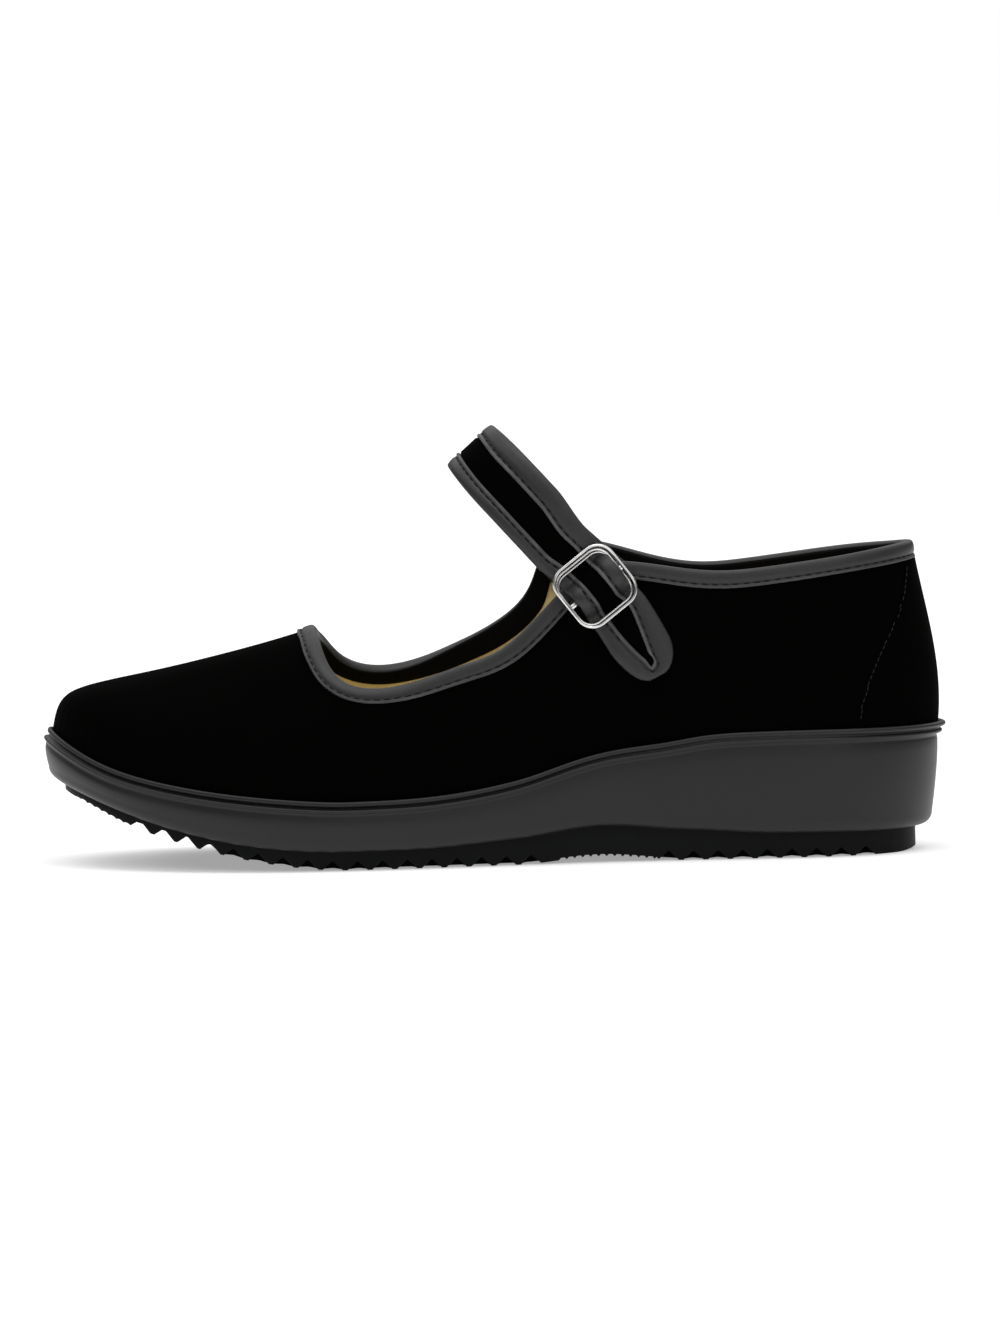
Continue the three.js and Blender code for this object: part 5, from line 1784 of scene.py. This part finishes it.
    def lapped(self, length: float, side: float) -> float:
        """1 where the tape's end laps over its beginning, along the front of the tail, and 0 elsewhere."""
        if side <= 0:
            return 0.0
        to_tip = self.path.length - length
        return smoothstep(to_tip, 1.2, 1.8) * (1 - smoothstep(to_tip, 12.6, 13.0))

    def edge_frames(self, rim: list[tuple[float, float]]) -> list[tuple[float, float, float, float]]:
        """Each place of the strap's edge with the direction inwards from it, seen on the flat strap."""
        frames = []
        for k, (length, side) in enumerate(rim):
            before, after = rim[max(0, k - 1)], rim[min(len(rim) - 1, k + 1)]
            run = Vector((after[0] - before[0], after[1] - before[1])).normalized()
            frames.append((length, side, run.y, -run.x))
        return [frames[0], *frames, frames[-1]]

    def stitching(self, frames: list[tuple[float, float, float, float]], inset: float, out: float) -> None:
        """A row of stitches along the tape."""
        path = self.path
        insets = [self.reach(f) - inset for f in frames]
        line = [(f[0] + f[2] * inner, f[1] + f[3] * inner) for f, inner in zip(frames, insets)]
        run, due, places = 0.0, 1.0, []
        for before, after in zip(line, line[1:]):
            span = math.hypot(after[0] - before[0], after[1] - before[1])
            while span > 0 and run + span > due:
                share = (due - run) / span
                length, side = mix(before[0], after[0], share), mix(before[1], after[1], share)
                ahead = path.point(length + 0.2, side + 0.2 * (after[1] - before[1]) / max(span, 1e-6), -out)
                middle = path.point(length, side, -out)
                if (ahead - middle).length > 1e-4:
                    places.append((middle, (ahead - middle).normalized(), path.frame(length)[2]))
                due += self.stitch_pitch
            run += span
        self.shop.piece("strap_stitches", self.shop.stitches(places, 1.9, 0.36), THREAD, Slot.TAPE)


@dataclass
class Buckle:
    """The plated slide buckle: rounded squares of wire, a round bar across the middle and a taped keeper."""

    seat: BuckleSeat
    sizes: StrapSizes
    shop: Workshop
    steps: int = 128
    set_up: float = -0.5
    set_aside: float = -1.15

    def at(self, along: float, aside: float, height: float) -> Vector:
        """A point of the buckle, which lies a little up and forwards on its seat."""
        return self.seat.at(along + self.set_up, aside + self.set_aside, height)

    def loop(
        self, inset: float, drop: float, thick: float, ends: tuple[float, float], aside_by: float = 0.0
    ) -> bmesh.types.BMesh:
        """One closed wire.

        Args:
            inset: how far its sides lie inside the buckle's edge.
            drop: how far it lies below the buckle's middle plane.
            thick: its thickness.
            ends: how far its upper and lower bars lie inside the buckle's ends.
            aside_by: how far it is set to the rear of the outer wire's middle.

        Returns:
            The wire's mesh.
        """
        sizes, seat = self.sizes, self.seat
        long, wide = sizes.buckle_length / 2, sizes.buckle_width / 2 - inset - thick / 2
        corner = max(1.8, sizes.buckle_corner - inset - thick / 2)
        slope = (seat.on_quarter - seat.on_tape) / (sizes.buckle_length - sizes.end_width)
        around = 12
        middle_line = []
        for k in range(self.steps):
            turn = 2 * math.pi * (k + 0.5) / self.steps
            c, d = math.cos(turn), math.sin(turn)
            reach = (long - ends[1] if c > 0 else long - ends[0]) - thick / 2
            along = math.copysign(max(0.0, reach - corner), c) + corner * c
            aside = math.copysign(wide - corner, d) + corner * d
            middle_line.append((along, aside, c, d))

        def place(i: int, j: int) -> Vector:
            along, aside, c, d = middle_line[i % self.steps]
            turn = 2 * math.pi * (j % around) / around
            out = math.cos(turn) * thick / 2
            height = seat.height - drop + slope * along + math.sin(turn) * thick / 2
            return self.at(along + c * out, aside_by + aside + d * out, height)

        return self.shop.sheet(self.steps, around, place)

    def frame(self) -> None:
        """The wires of the frame."""
        for name, wire in (
            ("buckle_outer_wire", self.loop(0.3, -0.1, 0.85, (0.2, 0.2))),
            ("buckle_inner_wire", self.loop(1.25, 0.25, 0.68, (1.25, 1.25), -0.35)),
            ("buckle_third_wire", self.loop(1.35, 0.62, 0.58, (2.15, 1.4), -0.35)),
        ):
            self.shop.piece(name, wire, CHROME, Slot.METAL, ["buckle"])

    def bar(self) -> None:
        """The round bar that the strap passes over."""
        sizes, seat = self.sizes, self.seat
        mesh = bmesh.new()
        half = sizes.buckle_width / 2 - sizes.side_width * 0.8
        axes = Matrix((seat.lengthwise, seat.face, seat.widthwise)).transposed().to_4x4()
        middle = self.shop.placed(self.seat.at(0, self.set_aside, seat.bar_height))
        matrix = Matrix.Translation(middle) @ axes
        bmesh.ops.create_cone(
            mesh, cap_ends=True, segments=24, radius1=sizes.buckle_thickness / 2 * MM,
            radius2=sizes.buckle_thickness / 2 * MM, depth=2 * half * MM, matrix=matrix,
        )
        self.shop.piece("buckle_bar", mesh, CHROME, Slot.METAL, ["buckle"], smooth=40)

    def keeper(self) -> None:
        """The tape tab that holds the bar to the quarter."""
        sizes, seat = self.sizes, self.seat
        around, across = 26, 10
        inner = sizes.buckle_thickness / 2 + 0.12
        thick = sizes.keeper_thickness
        foot = seat.keeper_half * 2.6
        line = [(foot, 0.7), (foot * 0.75, 0.72), (foot * 0.55, 0.8)]
        for k in range(14):
            turn = math.radians(mix(-40, 220, k / 13))
            bend = inner + thick / 2
            line.append((bend * math.cos(turn), seat.bar_height + bend * math.sin(turn)))
        line += [(0.2, 0.75), (foot * 0.5, 0.38)]
        strand = Strand([Vector((a, 0.0, b)) for a, b in line])

        def place(i: int, j: int) -> Vector:
            under, share = folded(i, across)
            middle, ahead = strand.at(strand.length * j / around)
            side = Vector((ahead.z, 0.0, -ahead.x))
            end = 1 if 0 < j < around else 0
            out = thick / 2 * (1 - abs(share) ** 8) ** 0.5 * (-1 if under else 1) * end * 0.8
            point = middle + side * out
            return seat.at(point.x, share * 3.8, point.z)

        mesh = self.shop.sheet(2 * across, around, place)
        self.shop.piece("keeper_tab", mesh, BINDING, Slot.TAPE, ["buckle_keeper"])


@dataclass
class Studio:
    """The white floor, the soft lights and the camera."""

    shop: Workshop
    distance: float = 3.0
    elevation: float = 4.0
    roll: float = 1.1
    aim: tuple[float, float, float] = (120.8, -0.183, 52.6)
    view_height: float = 0.3703
    room: float = 0.16

    def target(self) -> Vector:
        """The place on the shoe that the camera and the lamps look at."""
        return self.shop.placed(Vector(self.aim))

    def floor(self) -> None:
        """A seamless white floor."""
        mesh = bmesh.new()
        bmesh.ops.create_grid(mesh, x_segments=8, y_segments=8, size=6.0)
        data = bpy.data.meshes.new("studio_floor")
        mesh.to_mesh(data)
        mesh.free()
        data.materials.append(self.shop.dye.material(FLOOR))
        made = bpy.data.objects.new("studio_floor", data)
        bpy.context.scene.collection.objects.link(made)

    def lamp(
        self, name: str, place: Sequence[float], size: tuple[float, float], power: float, level: bool = False
    ) -> None:
        """One soft box that looks at the shoe, or a level one that looks straight down."""
        light = bpy.data.lights.new(name, "AREA")
        light.shape = "RECTANGLE"
        light.size, light.size_y = size
        light.energy = power
        made = bpy.data.objects.new(name, light)
        made.location = place
        aim = -UP if level else self.target() - Vector(place)
        made.rotation_euler = aim.to_track_quat("-Z", "Y").to_euler()
        bpy.context.scene.collection.objects.link(made)

    def lights(self) -> None:
        """A white backdrop in a dim room, with soft boxes overhead and one in front, at the heel's side."""
        scene = bpy.context.scene
        world = bpy.data.worlds.new("studio")
        world.use_nodes = True
        tree = world.node_tree
        backdrop = tree.nodes["Background"]
        backdrop.inputs["Color"].default_value = (1, 1, 1, 1)
        backdrop.inputs["Strength"].default_value = 1.0
        room = tree.nodes.new("ShaderNodeBackground")
        room.inputs["Color"].default_value = (1, 1, 1, 1)
        room.inputs["Strength"].default_value = self.room
        seen = tree.nodes.new("ShaderNodeLightPath")
        either = tree.nodes.new("ShaderNodeMixShader")
        tree.links.new(seen.outputs["Is Camera Ray"], either.inputs[0])
        tree.links.new(room.outputs[0], either.inputs[1])
        tree.links.new(backdrop.outputs[0], either.inputs[2])
        tree.links.new(either.outputs[0], tree.nodes["World Output"].inputs[0])
        scene.world = world
        scene.view_settings.view_transform = "Standard"
        self.lamp("ceiling", (0.0, -2.0, 3.0), (9.0, 13.0), 330, level=True)
        self.lamp("overhead", (0.1, 0.25, 1.3), (1.4, 0.35), 5)
        self.lamp("front_right", (-0.6, 1.6, 0.8), (0.8, 0.8), 2.4)

    def camera(self) -> None:
        """The camera at the photograph's angle."""
        data = bpy.data.cameras.new("camera")
        data.sensor_fit = "AUTO"
        data.sensor_width = 36.0
        data.lens = data.sensor_width * self.distance / self.view_height
        data.clip_end = 50
        tilt, roll = math.radians(self.elevation), math.radians(self.roll)
        back = Vector((0, math.cos(tilt), math.sin(tilt)))
        right = Vector((-1, 0, 0))
        rise = back.cross(right)
        axis_right = right * math.cos(roll) - rise * math.sin(roll)
        axis_up = right * math.sin(roll) + rise * math.cos(roll)
        turned = Matrix((axis_right, axis_up, back)).transposed().to_4x4()
        made = bpy.data.objects.new("camera", data)
        made.matrix_world = Matrix.Translation(self.target() + back * self.distance) @ turned
        bpy.context.scene.collection.objects.link(made)
        bpy.context.scene.camera = made


def frame_shift(last: Last) -> Vector:
    """How far the row's frame lies from the last's, in millimetres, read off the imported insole."""
    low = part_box("insole")[0] / MM
    sizes = last.sizes
    edges = []
    steps = ROWS * 3
    for k in range(steps):
        u = k / 3
        edge = last.base(u) - last.level_normal(u) * (sizes.wall + sizes.gap)
        edge.z += sizes.gap - sizes.rim_depth
        edges.append(edge)
    return low - Vector((min(e.x for e in edges), min(e.y for e in edges), min(e.z for e in edges)))


def main() -> None:
    """Builds the shoe and its studio."""
    logging.basicConfig(level=logging.INFO, format="%(message)s")
    for made in list(bpy.data.objects):
        bpy.data.objects.remove(made)
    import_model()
    last = Last(ShoeSizes())
    shop = Workshop(frame_shift(last))
    LOG.info("shift %s", tuple(round(v, 3) for v in shop.shift))
    upper = Upper(last, shop)
    upper.velvet()
    upper.lining()
    upper.stay()
    ToplineBinding(last, shop).build()
    sole = Sole(last, shop)
    sole.body()
    sole.tread()
    Insole(last, shop).build()
    sizes = StrapSizes()
    seat = BuckleSeat(last, sizes)
    strap = Strap(StrapPath(last, sizes, seat), shop)
    strap.velvet()
    strap.binding()
    buckle = Buckle(seat, sizes, shop)
    buckle.frame()
    buckle.bar()
    buckle.keeper()
    studio = Studio(shop)
    studio.floor()
    studio.lights()
    studio.camera()


if __name__ == "__main__":
    main()
